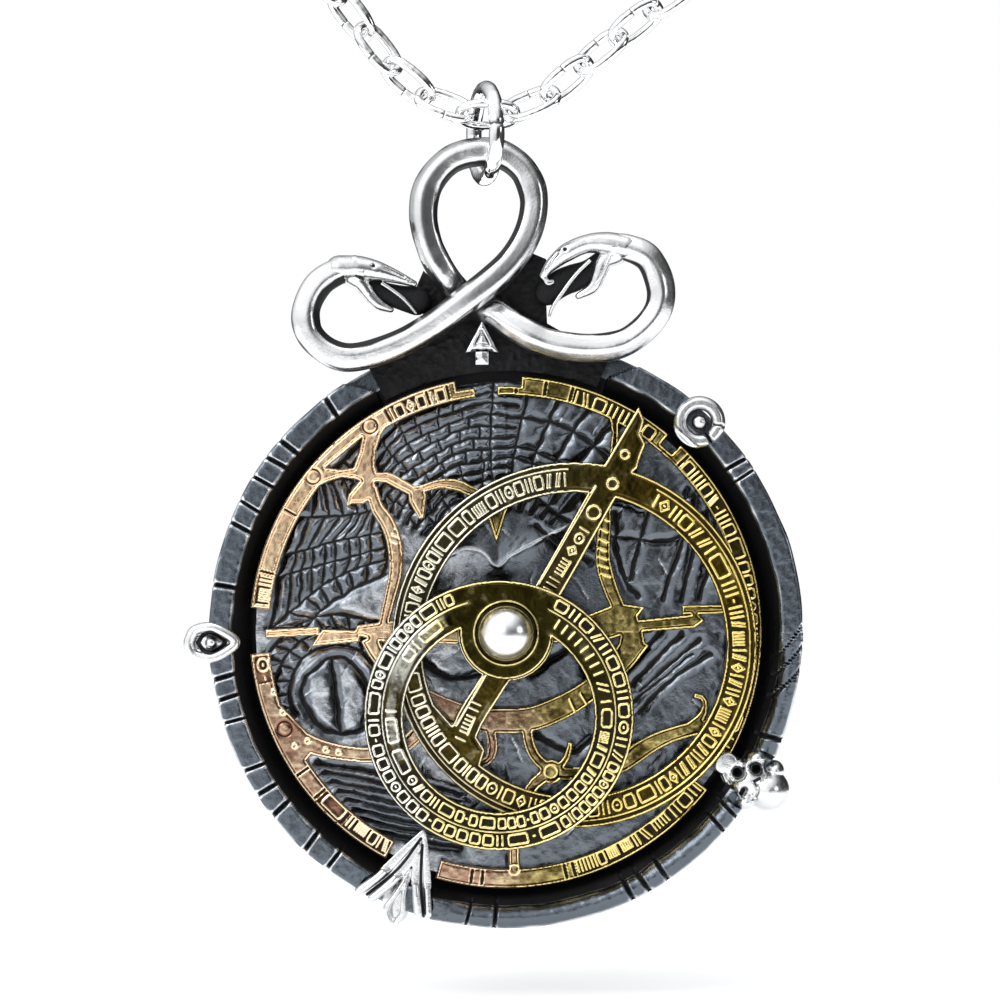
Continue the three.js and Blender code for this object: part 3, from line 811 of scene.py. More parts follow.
@dataclass
class Track:
    """An arc that marks are struck along, between two angles."""

    centre: Point
    radius: float
    width: float
    start: float
    stop: float

    def at(self, along: float, across: float) -> Point:
        """A point, by its share of the arc and its height across the track in half widths."""
        return polar(self.centre, self.radius + across * self.width / 2,
                     self.start + along * (self.stop - self.start))

    def strike(self, pattern: str) -> np.ndarray:
        """Strikes a row of marks, spread to fill the arc.

        Args:
            pattern: one letter of Mark for each mark.

        Returns:
            The marks' lines, as rows of x0, y0, x1, y1.
        """
        marks = [Mark(letter) for letter in pattern]
        scale = 1.0 / sum(MARK_LENGTHS[m] for m in marks)
        lines, used = [], 0.0
        for mark in marks:
            share = MARK_LENGTHS[mark] * scale
            lines += self._mark(mark, used + 0.14 * share, used + 0.86 * share)
            used += share
        return np.vstack(lines) if lines else np.zeros((0, 4))

    def _mark(self, mark: Mark, a: float, b: float) -> list[np.ndarray]:
        """One mark's lines between two shares of the arc.

        Args:
            mark: which mark.
            a: one end.
            b: the other end.

        Returns:
            The lines, as rows of x0, y0, x1, y1.
        """
        mid, half = (a + b) / 2, (b - a) / 2
        closed = mark in (Mark.CELL, Mark.RING, Mark.BAR, Mark.DIAMOND)
        shapes = {
            Mark.CELL: [(-1, -0.6), (-0.75, -0.9), (0.75, -0.9), (1, -0.6), (1, 0.6), (0.75, 0.9),
                        (-0.75, 0.9), (-1, 0.6)],
            Mark.BAR: [(-1, -0.6), (-0.9, -0.9), (0.9, -0.9), (1, -0.6),
                       (1, 0.6), (0.9, 0.9), (-0.9, 0.9), (-1, 0.6)],
            Mark.TICK: [(0, -0.85), (0, 0.85)],
            Mark.RING: [(math.cos(t), 0.8 * math.sin(t))
                        for t in np.linspace(0, 2 * math.pi, 12, endpoint=False)],
            Mark.SLANT: [(-0.75, -0.85), (-0.05, 0.85)],
            Mark.DIAMOND: [(-0.95, 0.0), (0.0, -0.85), (0.95, 0.0), (0.0, 0.85)],
            Mark.DOT: [(-0.3, 0.0), (0.3, 0.0)],
            Mark.COMB: [(-1.0, -0.85), (1.0, -0.85)],
            Mark.GAP: [],
        }
        shape = shapes[mark]
        if not shape:
            return []
        places = np.asarray([self.at(mid + u * half, v) for u, v in shape])
        lines = [segments_of(places, closed)]
        if mark is Mark.SLANT:
            lines.append(segments_of([self.at(mid + (u + 0.8) * half, v) for u, v in shape]))
        if mark is Mark.COMB:
            teeth = [[self.at(mid + u * half, -0.85), self.at(mid + u * half, 0.6)]
                     for u in (-0.9, -0.45, 0.0, 0.45, 0.9)]
            lines += [segments_of(tooth) for tooth in teeth]
        if mark in (Mark.RING, Mark.DIAMOND):
            lines.append(segments_of([self.at(mid - 0.1 * half, 0.0),
                                                 self.at(mid + 0.1 * half, 0.0)]))
        return lines


def ridge(distance: np.ndarray, half: float, soft: float, height: float) -> np.ndarray:
    """A raised line's height from the distance to its middle."""
    return height * (1 - step(distance, half, half + soft))


class PlateOutline:
    """The outline of a CAD plate's top face, in dial millimetres."""

    def __init__(self, dial: Dial, node: str) -> None:
        """Reads the edges that bound the top face.

        Args:
            dial: where the dial stands.
            node: the CAD node.
        """
        mesh = bpy.data.objects[node].data
        points = dial.unplace(np.array([v.co for v in mesh.vertices]))
        self.top = float(points[:, 2].max())
        key = [tuple(row) for row in np.round(points[:, :2], 3).tolist()]
        on_top = points[:, 2] > self.top - 0.02
        seen: dict[tuple, int] = {}
        for face in mesh.polygons:
            ring = list(face.vertices)
            if not all(on_top[i] for i in ring):
                continue
            for a, b in zip(ring, ring[1:] + ring[:1]):
                pair = (key[a], key[b]) if key[a] < key[b] else (key[b], key[a])
                seen[pair] = seen.get(pair, 0) + 1
        self.segments = np.array([[*a, *b] for (a, b), count in seen.items() if count == 1 and a != b])
        ends = self.segments.reshape(-1, 2)
        self.low, self.high = ends.min(0), ends.max(0)

    def depth_of(self, plot: Plot) -> np.ndarray:
        """How far in from the plate's edge each point of a grid is, negative outside it."""
        return plot.depth_inside(self.segments)

    def plot(self, pitch: float) -> Plot:
        """A grid that covers the plate with a little room round it."""
        margin = 4 * pitch
        return Plot(tuple(self.low - margin), tuple(self.high + margin), pitch)


# ---- case


@dataclass
class CaseBody:
    """The cast case: a floor, a sloping wall, and a rim of blocks that ends at the serpent."""

    outer: float = 22.9
    rim_inner: float = 21.2
    foot: float = 19.9
    top: float = 4.6
    floor: float = 1.6
    divisions: int = 2200
    groove_depth: float = 0.34
    groove_half: float = 0.105
    open_from: Point = (68.0, 63.5)
    open_to: Point = (118.5, 123.0)
    round_band: Point = (255.0, 360.0)
    band_drop: float = 0.62
    grooves: tuple[float, ...] = (
        33.3, 36.2, 127.8, 139.5, 143.5, 148.2, 153.8, 158.4, 170.7, 189.0, 193.2, 198.0, 208.2,
        213.3, 218.0, 227.0, 232.8, 262.4, 267.8, 295.4, 298.8, 303.2, 317.8, 321.5, 334.5, 338.4)
    slanted: tuple[float, ...] = (349.9, 354.5, 358.5)
    slant: float = 3.6
    sway: float = 0.35
    seat_top: float = 3.2
    seats: tuple[tuple[float, float, float, float], ...] = (
        (-22.6, -0.8, 1.75, 1.25), (14.9, 16.2, 1.75, 1.75), (19.0, -11.4, 2.5, 2.3), (-8.3, -20.4, 2.3, 1.6),
        (-6.6, -21.0, 0.95, 1.6), (-9.6, -19.6, 1.6, 1.0))

    @property
    def rim_middle(self) -> float:
        """The radius halfway across the rim."""
        return (self.outer + self.rim_inner) / 2

    def _profile(self) -> np.ndarray:
        """Radius and height from the bore, out over the back, up the wall and back over the floor.

        Returns:
            Rows of radius and height.
        """
        rim = np.linspace(self.outer - 0.22, self.rim_inner + 0.12, 9)
        rows = [(1.4, 0.6), (2.5, 0.6), (2.5, 0.0), (12.0, 0.0), (self.outer - 0.7, 0.0),
                (self.outer - 0.2, 0.15)]
        rows += [(self.outer, 0.6), (self.outer, 1.8), (self.outer, 3.0), (self.outer, 3.9),
                 (self.outer, self.top - 0.3)]
        rows += [(self.outer - 0.08, self.top - 0.08)] + [(r, self.top) for r in rim]
        rows += [(self.rim_inner, self.top - 0.1), (self.rim_inner - 0.14, self.top - 0.4)]
        rows += [(self.rim_inner - 0.5, 3.4), (self.rim_inner - 0.9, 2.5), (self.foot, 1.75),
                 (self.foot - 0.3, self.floor)]
        rows += [(12.0, self.floor), (1.4, self.floor)]
        return np.asarray(rows)

    def _cuts(self, radius: np.ndarray, angle: np.ndarray) -> tuple[np.ndarray, np.ndarray]:
        """How deep each point lies in a groove, and how near it is to a groove's lip.

        Args:
            radius: each point's radius.
            angle: each point's angle, in degrees.

        Returns:
            The two arrays, each from 0 to 1.
        """
        depth = np.zeros(np.broadcast(radius, angle).shape)
        lip = np.zeros_like(depth)
        for k, at in enumerate([*self.grooves, *self.slanted]):
            tilt = self.slant if at in self.slanted else self.sway * math.sin(5.1 * k)
            lean = tilt * (radius - self.rim_middle)
            away = np.abs((angle - at - lean + 180) % 360 - 180) * np.pi / 180 * radius
            wide = self.groove_half * (0.8 + 0.5 * abs(math.sin(3.7 * k)))
            depth = np.maximum(depth, np.exp(-((away / wide) ** 2)))
            lip = np.maximum(lip, np.exp(-(((away - 2.1 * wide) / 0.12) ** 2)))
        return depth, lip

    def shell(self) -> Shell:
        """Builds the case.

        Returns:
            The closed body, with its "hollow" and "worn" marks.
        """
        profile = self._profile()
        angle = np.linspace(0, 360, self.divisions, endpoint=False)[:, None]
        radius, height = profile[None, :, 0], profile[None, :, 1]
        rim = step(height, 3.6, self.top - 0.1) * (radius > self.rim_inner - 0.2)
        groove, lip = self._cuts(radius, angle)
        outside = step(radius, self.outer - 0.3, self.outer - 0.05)
        around = angle * np.pi / 180 * 22
        wander = grain(around, 0 * around, 2.3, 11)
        fine = grain(around, radius, 0.35, 12)
        inside = step(-radius, -self.rim_inner - 0.25, -self.rim_inner) * rim
        waver = inside * 0.09 * grain(around, 0 * around, 1.4, 13)
        r = radius + outside * (0.06 * wander - 0.14 * groove * rim) + waver
        low, high = self.round_band
        band = step(angle, low, low + 8) * (1 - step(angle, high - 6, high))
        crown = self.band_drop * band * ((radius - self.rim_middle) / (self.outer - self.rim_middle)) ** 2
        block = np.digitize(angle.ravel(), sorted([*self.grooves, *self.slanted]))[:, None]
        tilt = np.random.default_rng(5).uniform(-0.06, 0.06, 40)[block % 40]
        z = height + rim * (0.032 * fine + tilt + 0.03 * lip - self.groove_depth * groove - crown)
        share = np.clip((radius - self.rim_inner) / (self.outer - self.rim_inner), 0, 1)
        right = self.open_from[0] + share * (self.open_from[1] - self.open_from[0])
        left = self.open_to[0] + share * (self.open_to[1] - self.open_to[0])
        gap = step(angle, right - 0.25, right + 0.1) * (1 - step(angle, left - 0.1, left + 0.25))
        gap = gap * (radius > self.foot - 0.35)
        z = z * (1 - gap) + np.minimum(z, self.floor) * gap
        turn = angle * np.pi / 180
        x, y = r * np.cos(turn), r * np.sin(turn)
        for seat_x, seat_y, reach_x, reach_y in self.seats:
            away = np.hypot((x - seat_x) / reach_x, (y - seat_y) / reach_y)
            z = np.where(z > self.seat_top, self.seat_top + (z - self.seat_top) * step(away, 0.97, 1.03), z)
        points = np.stack([x, y, z], 2).reshape(-1, 3)
        count = len(profile)
        number = np.arange(self.divisions * count).reshape(self.divisions, count)
        near, far = number, np.roll(number, -1, 0)
        quads = np.stack([near, np.roll(near, -1, 1), np.roll(far, -1, 1), far], 2).reshape(-1, 4)
        quads = quads[:, ::-1]
        wall = (radius < self.rim_inner - 0.05) * (height > 0.7)
        # The rim's outer and inner edges, the groove lips and the round band are brightened, partly as polish
        # and partly as painted highlight; the band also keeps less oxide on its flats, a painted sheen.
        edge = np.maximum(step(radius, self.outer - 0.3, self.outer - 0.12),
                          step(-radius, -self.rim_inner - 0.26, -self.rim_inner - 0.08))
        edge = edge * rim * (0.55 + 0.25 * grain(around, radius, 1.1, 15)) * (1 - 0.15 * band)
        flat = rim * (0.26 + 0.2 * grain(around, radius, 0.5, 14)) * (1 - edge) * (1 - 0.6 * band)
        outer_wall = outside * (height < 4.1) * 0.32
        whole = np.zeros(groove.shape)
        layers = [whole + layer for layer in (flat, groove * rim, wall, outer_wall)]
        hollow = np.clip(np.maximum.reduce(layers), 0, 1)
        worn = np.clip(edge + lip * rim * (0.7 - 0.45 * band) + 0.2 * band * rim, 0, 1) * (1 - groove * rim)
        marks = {"hollow": hollow.ravel(), "worn": (worn + whole).ravel()}
        return Shell(points, quads.tolist(), marks)

    def make(self, dial: Dial) -> None:
        """Builds and dresses the case."""
        dial.piece("case_body", self.shell(), finish(Metal.RIM),
                   "mater", ["mater_case"], 60)


# ---- ground plate


@dataclass
class GroundPlate:
    """The engraved ground: courses, bars and a leaf cut into dark metal."""

    pitch: float = 0.11
    cell_height: float = 0.2
    crown_height: float = 0.21
    crown_reach: float = 0.38
    cut_width: float = 0.1
    course: float = 0.84
    fan_centre: Point = (-0.4, 4.3)
    leaf_centre: Point = (-13.1, -4.8)
    ceiling: float = 3.0
    scratches: int = 120
    seed: int = 21
    wing: tuple[Point, ...] = (
        (-5.7, 3.6), (-4.9, 5.5), (-3.4, 6.5), (-2.2, 6.4), (-1.4, 5.9), (-0.7, 5.1), (0.2, 5.8), (1.5, 6.6),
        (3.4, 7.5), (5.1, 8.4))

    def _fan(self) -> list[np.ndarray]:
        """Curved courses over the middle, crossed by spreading lines.

        Returns:
            The lines.
        """
        lines = []
        rng = np.random.default_rng(self.seed)
        radii = np.arange(6.6, 15.4, self.course)
        for radius in radii:
            angles = np.linspace(36 if int(radius) % 3 == 0 else 84, 150, 60)
            wave = radius + 0.12 * np.sin(angles * 0.21 + radius) + 0.02 * rng.normal(size=60)
            lines.append(segments_of(np.array([polar(self.fan_centre, w, a) for w, a in zip(wave, angles)])))
        for angle in (92, 81, 71.5, 62, 53, 44):
            inner, outer = polar(self.fan_centre, 5.6, angle + 3), polar(self.fan_centre, 15.2, angle)
            middle = polar(self.fan_centre, 10.4, angle + 2.4)
            lines.append(segments_of(smooth_line([inner, middle, outer], 6)))
        for radius in radii[:-1]:
            for angle in np.arange(98 + rng.uniform(0, 8), 150, 88 / radius):
                turn = angle + rng.uniform(-1.2, 1.2)
                near = polar(self.fan_centre, radius, turn)
                far = polar(self.fan_centre, radius + self.course, turn - 0.8)
                lines.append(segments_of(np.array([near, far])))
        return lines

    def _bars(self) -> list[np.ndarray]:
        """Rows of short bars on the left.

        Returns:
            The lines.
        """
        rows = [
            [(-15.6, 10.6), (-13.2, 12.2), (-10.4, 12.6)],
            [(-16.6, 8.75), (-11.8, 9.1), (-9.4, 9.75)],
            [(-17.2, 5.9), (-13.5, 6.9), (-9.2, 7.8)],
            [(-17.7, 4.2), (-13.5, 5.4), (-9.0, 6.6)],
            [(-18.2, 0.2), (-15.1, 2.9), (-12.4, 4.6), (-9.0, 5.7)],
            [(-15.6, 0.3), (-13.1, 2.55), (-9.4, 4.5)],
        ]
        curves = [smooth_line(row, 16) for row in rows]
        lines = [segments_of(curve) for curve in curves[1:]]
        for k, (upper, lower) in enumerate(zip(curves[:-1], curves[1:])):
            count = (8, 9, 10, 10, 8)[k]
            for t in np.linspace(0.02, 0.98, count):
                a = upper[int(t * (len(upper) - 1))]
                b = lower[int(t * (len(lower) - 1))]
                lines.append(segments_of(np.array([a, (a + b) / 2 + (0.08, 0), b])))
        return lines

    def _leaf(self) -> list[np.ndarray]:
        """A broad leaf with a rib, and the petals that ring it.

        Returns:
            The lines.
        """
        outline = [(-15.5, -3.5), (-15.8, -5.1), (-14.4, -7.4),
                   (-12.6, -7.9), (-10.8, -7.3), (-10.4, -5.0), (-11.8, -2.6),
                   (-13.45, -2.0), (-15.5, -3.5)]
        rib = [(-13.5, -2.0), (-13.3, -4.0), (-13.0, -6.0), (-12.9, -7.8)]
        lines = [segments_of(smooth_line(outline, 8)), segments_of(smooth_line(rib, 5))]
        middle = self.leaf_centre
        for radius in (3.75, 4.9, 6.1):
            lines.append(segments_of(np.array([polar(middle, radius, a) for a in np.linspace(28, 208, 50)])))
        for radius, gap in ((3.75, 15), (4.9, 12)):
            for angle in np.arange(30, 205, gap):
                near, far = polar(middle, radius, angle), polar(middle, radius + 1.15, angle + 4)
                lines.append(segments_of(np.array([near, far])))
        return lines

    def _hatch(self) -> list[np.ndarray]:
        """Parallel furrows at the lower left, and the crazed field on the right.

        Returns:
            The lines.
        """
        lines = []
        for k in range(8):
            start = (-14.6 + 0.55 * k, -10.2 - 0.72 * k)
            lines.append(segments_of(smooth_line([start, (-9.6, -11.0 - 0.66 * k), (-3.5, -12.6 - 0.6 * k)],
                                                 8)))
        cracks = [
            [(7.9, 7.4), (11.8, 7.0), (13.9, 7.5)],
            [(8.4, 9.3), (8.6, 7.9), (8.4, 6.5), (9.3, 3.8), (10.2, 2.75)],
            [(11.1, 9.5), (10.2, 6.3), (9.5, 4.0)], [(13.9, 10.9), (13.8, 7.4), (12.9, 4.7), (12.2, 2.6)],
            [(14.65, 10.5), (14.5, 6.3), (13.6, 2.4)], [(8.6, 10.2), (11.4, 9.6), (14.6, 10.6)],
            [(15.6, 9.2), (15.9, 5.8), (15.0, 2.6)], [(3.2, 9.6), (5.6, 8.2), (6.6, 6.6)],
            [(2.4, 8.2), (4.6, 6.4), (6.4, 5.4)],
            [(9.7, -4.1), (13.6, -0.2)], [(10.4, -4.6), (15.0, -0.6)],
            [(10.4, -6.2), (12.7, -3.9), (15.8, -1.8)],
            [(9.0, -3.2), (12.0, 0.0)], [(9.9, -5.4), (14.4, -1.8)], [(2.0, -3.0), (5.4, -1.2), (6.8, -3.6)],
            [(2.2, -8.0), (5.0, -9.4), (6.6, -8.4)], [(-7.0, -2.2), (-4.4, -3.6), (-1.6, -3.3)],
        ]
        return lines + [segments_of(smooth_line(crack, 8)) for crack in cracks]

    def _scratches(self) -> list[np.ndarray]:
        """Fine seeded scratches.

        Returns:
            The lines.
        """
        rng = np.random.default_rng(self.seed + 1)
        lines = []
        for _ in range(self.scratches):
            at = rng.uniform(-17, 17, 2)
            turn = rng.choice([0.85, 1.0, 2.2]) + rng.normal() * 0.15
            reach = rng.uniform(0.5, 2.2)
            lines.append(np.array([[*at, at[0] + reach * math.cos(turn), at[1] + reach * math.sin(turn)]]))
        return lines

    def make(self, dial: Dial) -> None:
        """Works the relief and lays it on the plate.

        Args:
            dial: where the dial stands.
        """
        outline = PlateOutline(dial, "tympan_plate")
        plot = outline.plot(self.pitch)
        depth = outline.depth_of(plot)
        cuts = np.vstack([*self._fan(), *self._bars(), *self._leaf(), *self._hatch()])
        wobble_x = plot.x + 0.07 * grain(plot.x, plot.y, 0.7, 31)
        wobble_y = plot.y + 0.07 * grain(plot.x, plot.y, 0.7, 32)
        warped = Plot(plot.low, (plot.low[0], plot.low[1]), plot.pitch)
        warped.x, warped.y = wobble_x, wobble_y
        away = warped.distance(cuts, 0.9)
        width = self.cut_width * (1 + 0.35 * grain(plot.x, plot.y, 2.2, 33))
        cells = self.cell_height * (0.5 - 0.5 * np.exp(-((away / width) ** 2)))
        crown = self.crown_height * (1 - np.exp(-((away / self.crown_reach) ** 2)))
        wing = warped.distance(segments_of(smooth_line(self.wing, 6)), 1.4)
        wings = 0.12 * np.exp(-((wing / 0.2) ** 2)) + 0.2 * np.exp(-((wing / 0.9) ** 2))
        scratch = np.exp(-((warped.distance(np.vstack(self._scratches()), 0.4) / 0.08) ** 2))
        rough = 0.02 * grain(plot.x, plot.y, 0.36, 34) + 0.05 * grain(plot.x, plot.y, 1.1, 35)
        rough = rough * (0.3 + 0.7 * step(np.hypot(plot.x - 2.0, plot.y - 3.0), 3.5, 8.0))
        height = 0.02 + cells + crown + wings - 0.04 * scratch + rough
        height = np.clip(height, 0.01, self.ceiling - outline.top)
        # Painted highlight: bright lines along the cut edges, crests made brighter towards the left where the
        # light falls, and a bright line along the wing's crest; the crests' base brightening and the bright
        # scratches are polish.
        painted_lip_highlight = np.exp(-(((away - 0.24) / 0.09) ** 2)) * step(grain(plot.x, plot.y, 1.6, 36), -0.1, 0.7)
        left = step(-plot.x, -3.0, 7.0)
        rub_and_highlight = np.maximum(step(height, 0.22, 0.34) * (0.3 + 0.34 * left), 0.55 * painted_lip_highlight)
        rub_and_highlight = np.maximum(rub_and_highlight, 0.95 * scratch * step(grain(plot.x, plot.y, 0.9, 37), -0.4, 0.3))
        rub_and_highlight = np.maximum(rub_and_highlight, 0.9 * np.exp(-((wing / 0.16) ** 2)))
        skin = plot.skin(depth, height, outline.top, 0.06, 0.4, 0.075, np.clip(rub_and_highlight, 0, 1))
        dial.piece("ground_engraving", skin, finish(Metal.GROUND), "mater")
        dress("tympan_plate", finish(Metal.GROUND))


# ---- throne web and arrow


@dataclass
class Throne:
    """The black granular web under the serpent, and the arrow that marks the top."""

    pitch: float = 0.12
    arrow_pitch: float = 0.05

    def _web(self, dial: Dial) -> None:
        """Covers the web with coarse cast grain.

        Args:
            dial: where the dial stands.
        """
        outline = PlateOutline(dial, "throne_web")
        plot = outline.plot(self.pitch)
        depth = outline.depth_of(plot)
        height = 0.1 + 0.07 * grain(plot.x, plot.y, 0.28, 41) + 0.06 * grain(plot.x, plot.y, 0.6, 42)
        height += 0.1 * grain(plot.x, plot.y, 1.9, 43)
        skin = plot.skin(depth, np.maximum(height, 0.01), outline.top, 0.08, 0.3, 0.09)
        skin.marks["hollow"] = np.clip(skin.marks["hollow"] * 0.6 + 0.42, 0, 1)
        dial.piece("web_grain", skin, finish(Metal.CHASM), "mater")
        dress("throne_web", finish(Metal.CHASM))

    def _arrow(self, dial: Dial) -> None:
        """Gives the arrow its outlined head and notched stem.

        Args:
            dial: where the dial stands.
        """
        outline = PlateOutline(dial, "arrow_index")
        plot = outline.plot(self.arrow_pitch)
        depth = outline.depth_of(plot)
        facet = np.minimum(depth, 0.75) * 0.42
        inner = np.array([(-1.85, 23.3), (-2.4, 22.2), (-1.3, 22.2)])
        groove = plot.distance(segments_of(inner, True), 0.4)
        stem = plot.distance(np.array([[-2.6, 21.75, -1.1, 21.75], [-2.6, 21.1, -2.3, 21.1]]), 0.4)
        height = facet - 0.17 * np.exp(-((groove / 0.1) ** 2)) - 0.2 * np.exp(-((stem / 0.11) ** 2))
        height += 0.015 * grain(plot.x, plot.y, 0.3, 44)
        skin = plot.skin(depth, np.maximum(height, 0.0), outline.top, 0.3, 0.3, 0.1)
        skin.marks["worn"] = np.clip(skin.marks["raised"], 0, 1)
        dial.piece("arrow_relief", skin, finish(Metal.BOSS), "mater")
        dress("arrow_index", finish(Metal.BOSS))

    def make(self, dial: Dial) -> None:
        """Builds both."""
        self._web(dial)
        self._arrow(dial)


# ---- modelled castings


class Clay:
    """Adds rolls and balls together, welds them into one skin, and tools it."""

    def __init__(self, voxel: float) -> None:
        """Starts empty, with the size of the weld's cells in millimetres."""
        self.voxel = voxel
        self.shells: list[Shell] = []

    def roll(self, points: Sequence[Point3], radii: Sequence[float], tall: float = 1.0) -> "Clay":
        """Adds a tapering roll with rounded ends.

        Args:
            points: the points of its middle.
            radii: its radius at each of them.
            tall: its height over its width.

        Returns:
            The same clay.
        """
        line = smooth_line(points, 8)
        spread = np.interp(np.linspace(0, len(radii) - 1, len(line)), range(len(radii)), radii)
        for end, inner, sign in ((0, 1, -1), (-1, -2, 1)):
            away = line[end] - line[inner]
            away = away / np.linalg.norm(away)
            cap = np.sin(np.linspace(0.25, 1.0, 4) * math.pi / 2)
            extra = line[end] + away * spread[end] * cap[:, None]
            sizes = spread[end] * np.sqrt(np.maximum(1 - cap ** 2, 0.004))
            if sign < 0:
                line, spread = np.vstack([extra[::-1], line]), np.concatenate([sizes[::-1], spread])
            else:
                line, spread = np.vstack([line, extra]), np.concatenate([spread, sizes])
        self.shells.append(swept(line, spread, 20, tall))
        return self

    def ball(self, centre: Point3, radii: Point3) -> "Clay":
        """Adds an egg shape with its three radii.

        Args:
            centre: its middle.
            radii: its three radii.

        Returns:
            The same clay.
        """
        rows = [(max(math.cos(t), 0.03), math.sin(t)) for t in np.linspace(-1.5, 1.5, 17)]
        egg = turned(rows, (0, 0, 0), 28)
        egg.points = egg.points * radii + centre
        self.shells.append(egg)
        return self

    def weld(self, rounds: int = 6) -> Shell:
        """Welds everything into one skin and smooths the joins.

        Args:
            rounds: how often the skin is smoothed.

        Returns:
            The welded shell.
        """
        whole = Shell.joined(self.shells)
        mesh = bpy.data.meshes.new("clay")
        mesh.from_pydata(whole.points.tolist(), [], whole.faces)
        block = bpy.data.objects.new("clay", mesh)
        bpy.context.scene.collection.objects.link(block)
        weld = block.modifiers.new("weld", "REMESH")
        weld.mode = "VOXEL"
        weld.voxel_size = self.voxel
        weld.adaptivity = 0.0
        ease = block.modifiers.new("ease", "SMOOTH")
        ease.factor = 0.5
        ease.iterations = rounds
        done = block.evaluated_get(bpy.context.evaluated_depsgraph_get()).to_mesh()
        points = np.array([v.co for v in done.vertices])
        faces = [tuple(p.vertices) for p in done.polygons]
        block.to_mesh_clear()
        bpy.data.objects.remove(block)
        bpy.data.meshes.remove(mesh)
        return Shell(points, faces)


def reach_of(shell: Shell, line: Sequence[Point]) -> np.ndarray:
    """How far each point is from a line, seen from the front.

    Args:
        shell: what is worked on.
        line: the line's points; one point stands for itself.

    Returns:
        A distance for each point, in millimetres.
    """
    track = smooth_line(line, 10) if len(line) > 1 else np.asarray(line * 2, float)
    away = np.full(len(shell.points), 99.0)
    for a, b in zip(track[:-1, :2], track[1:, :2]):
        along = b - a
        share = np.clip((shell.points[:, :2] - a) @ along / max(along @ along, 1e-12), 0, 1)
        away = np.minimum(away, np.linalg.norm(shell.points[:, :2] - a - share[:, None] * along, axis=1))
    return away


def press(shell: Shell, line: Sequence[Point], width: float, depth: float) -> Shell:
    """Presses a groove or a dent into a shell from the front.

    Args:
        shell: what is tooled.
        line: the groove's points; one point makes a dent.
        width: its half width.
        depth: how deep it goes; negative raises a ridge.

    Returns:
        The same shell.
    """
    away = reach_of(shell, line)
    front = step(shell.normals()[:, 2], -0.1, 0.35)
    shell.points[:, 2] -= depth * np.exp(-((away / width) ** 2)) * front
    return shell


def blacken(shell: Shell, line: Sequence[Point], width: float) -> Shell:
    """Leaves oxide along a line, seen from the front.

    Args:
        shell: what is coloured; it already has its "hollow" mark.
        line: the points of the line; one point makes a spot.
        width: its half width.

    Returns:
        The same shell.
    """
    away = reach_of(shell, line)
    shell.marks["hollow"] = np.maximum(shell.marks["hollow"], np.exp(-((away / width) ** 4)))
    return shell


def clear_of_plates(shell: Shell, reach: float = 20.35, low: float = 3.87, high: float = 4.47) -> Shell:
    """Keeps a boss out of the turning plates' way, between the layers inside their reach.

    Args:
        shell: what is worked on.
        reach: the radius that the turning plates reach.
        low: the lowest point over the layer beneath.
        high: the highest point under the layer above.

    Returns:
        The same shell.
    """
    radius = np.hypot(shell.points[:, 0], shell.points[:, 1])
    lift = np.maximum(radius - reach, 0) * 3.0
    floor = np.where(radius < reach, low, low - (radius - reach) * 9.0)
    room = high + lift - floor
    rise = np.maximum(shell.points[:, 2] - floor, 0)
    eased = np.where(radius < reach + 0.25, room * (1 - np.exp(-rise / (0.55 * room))),
                     np.minimum(rise, room))
    shell.points[:, 2] = floor + eased
    return shell


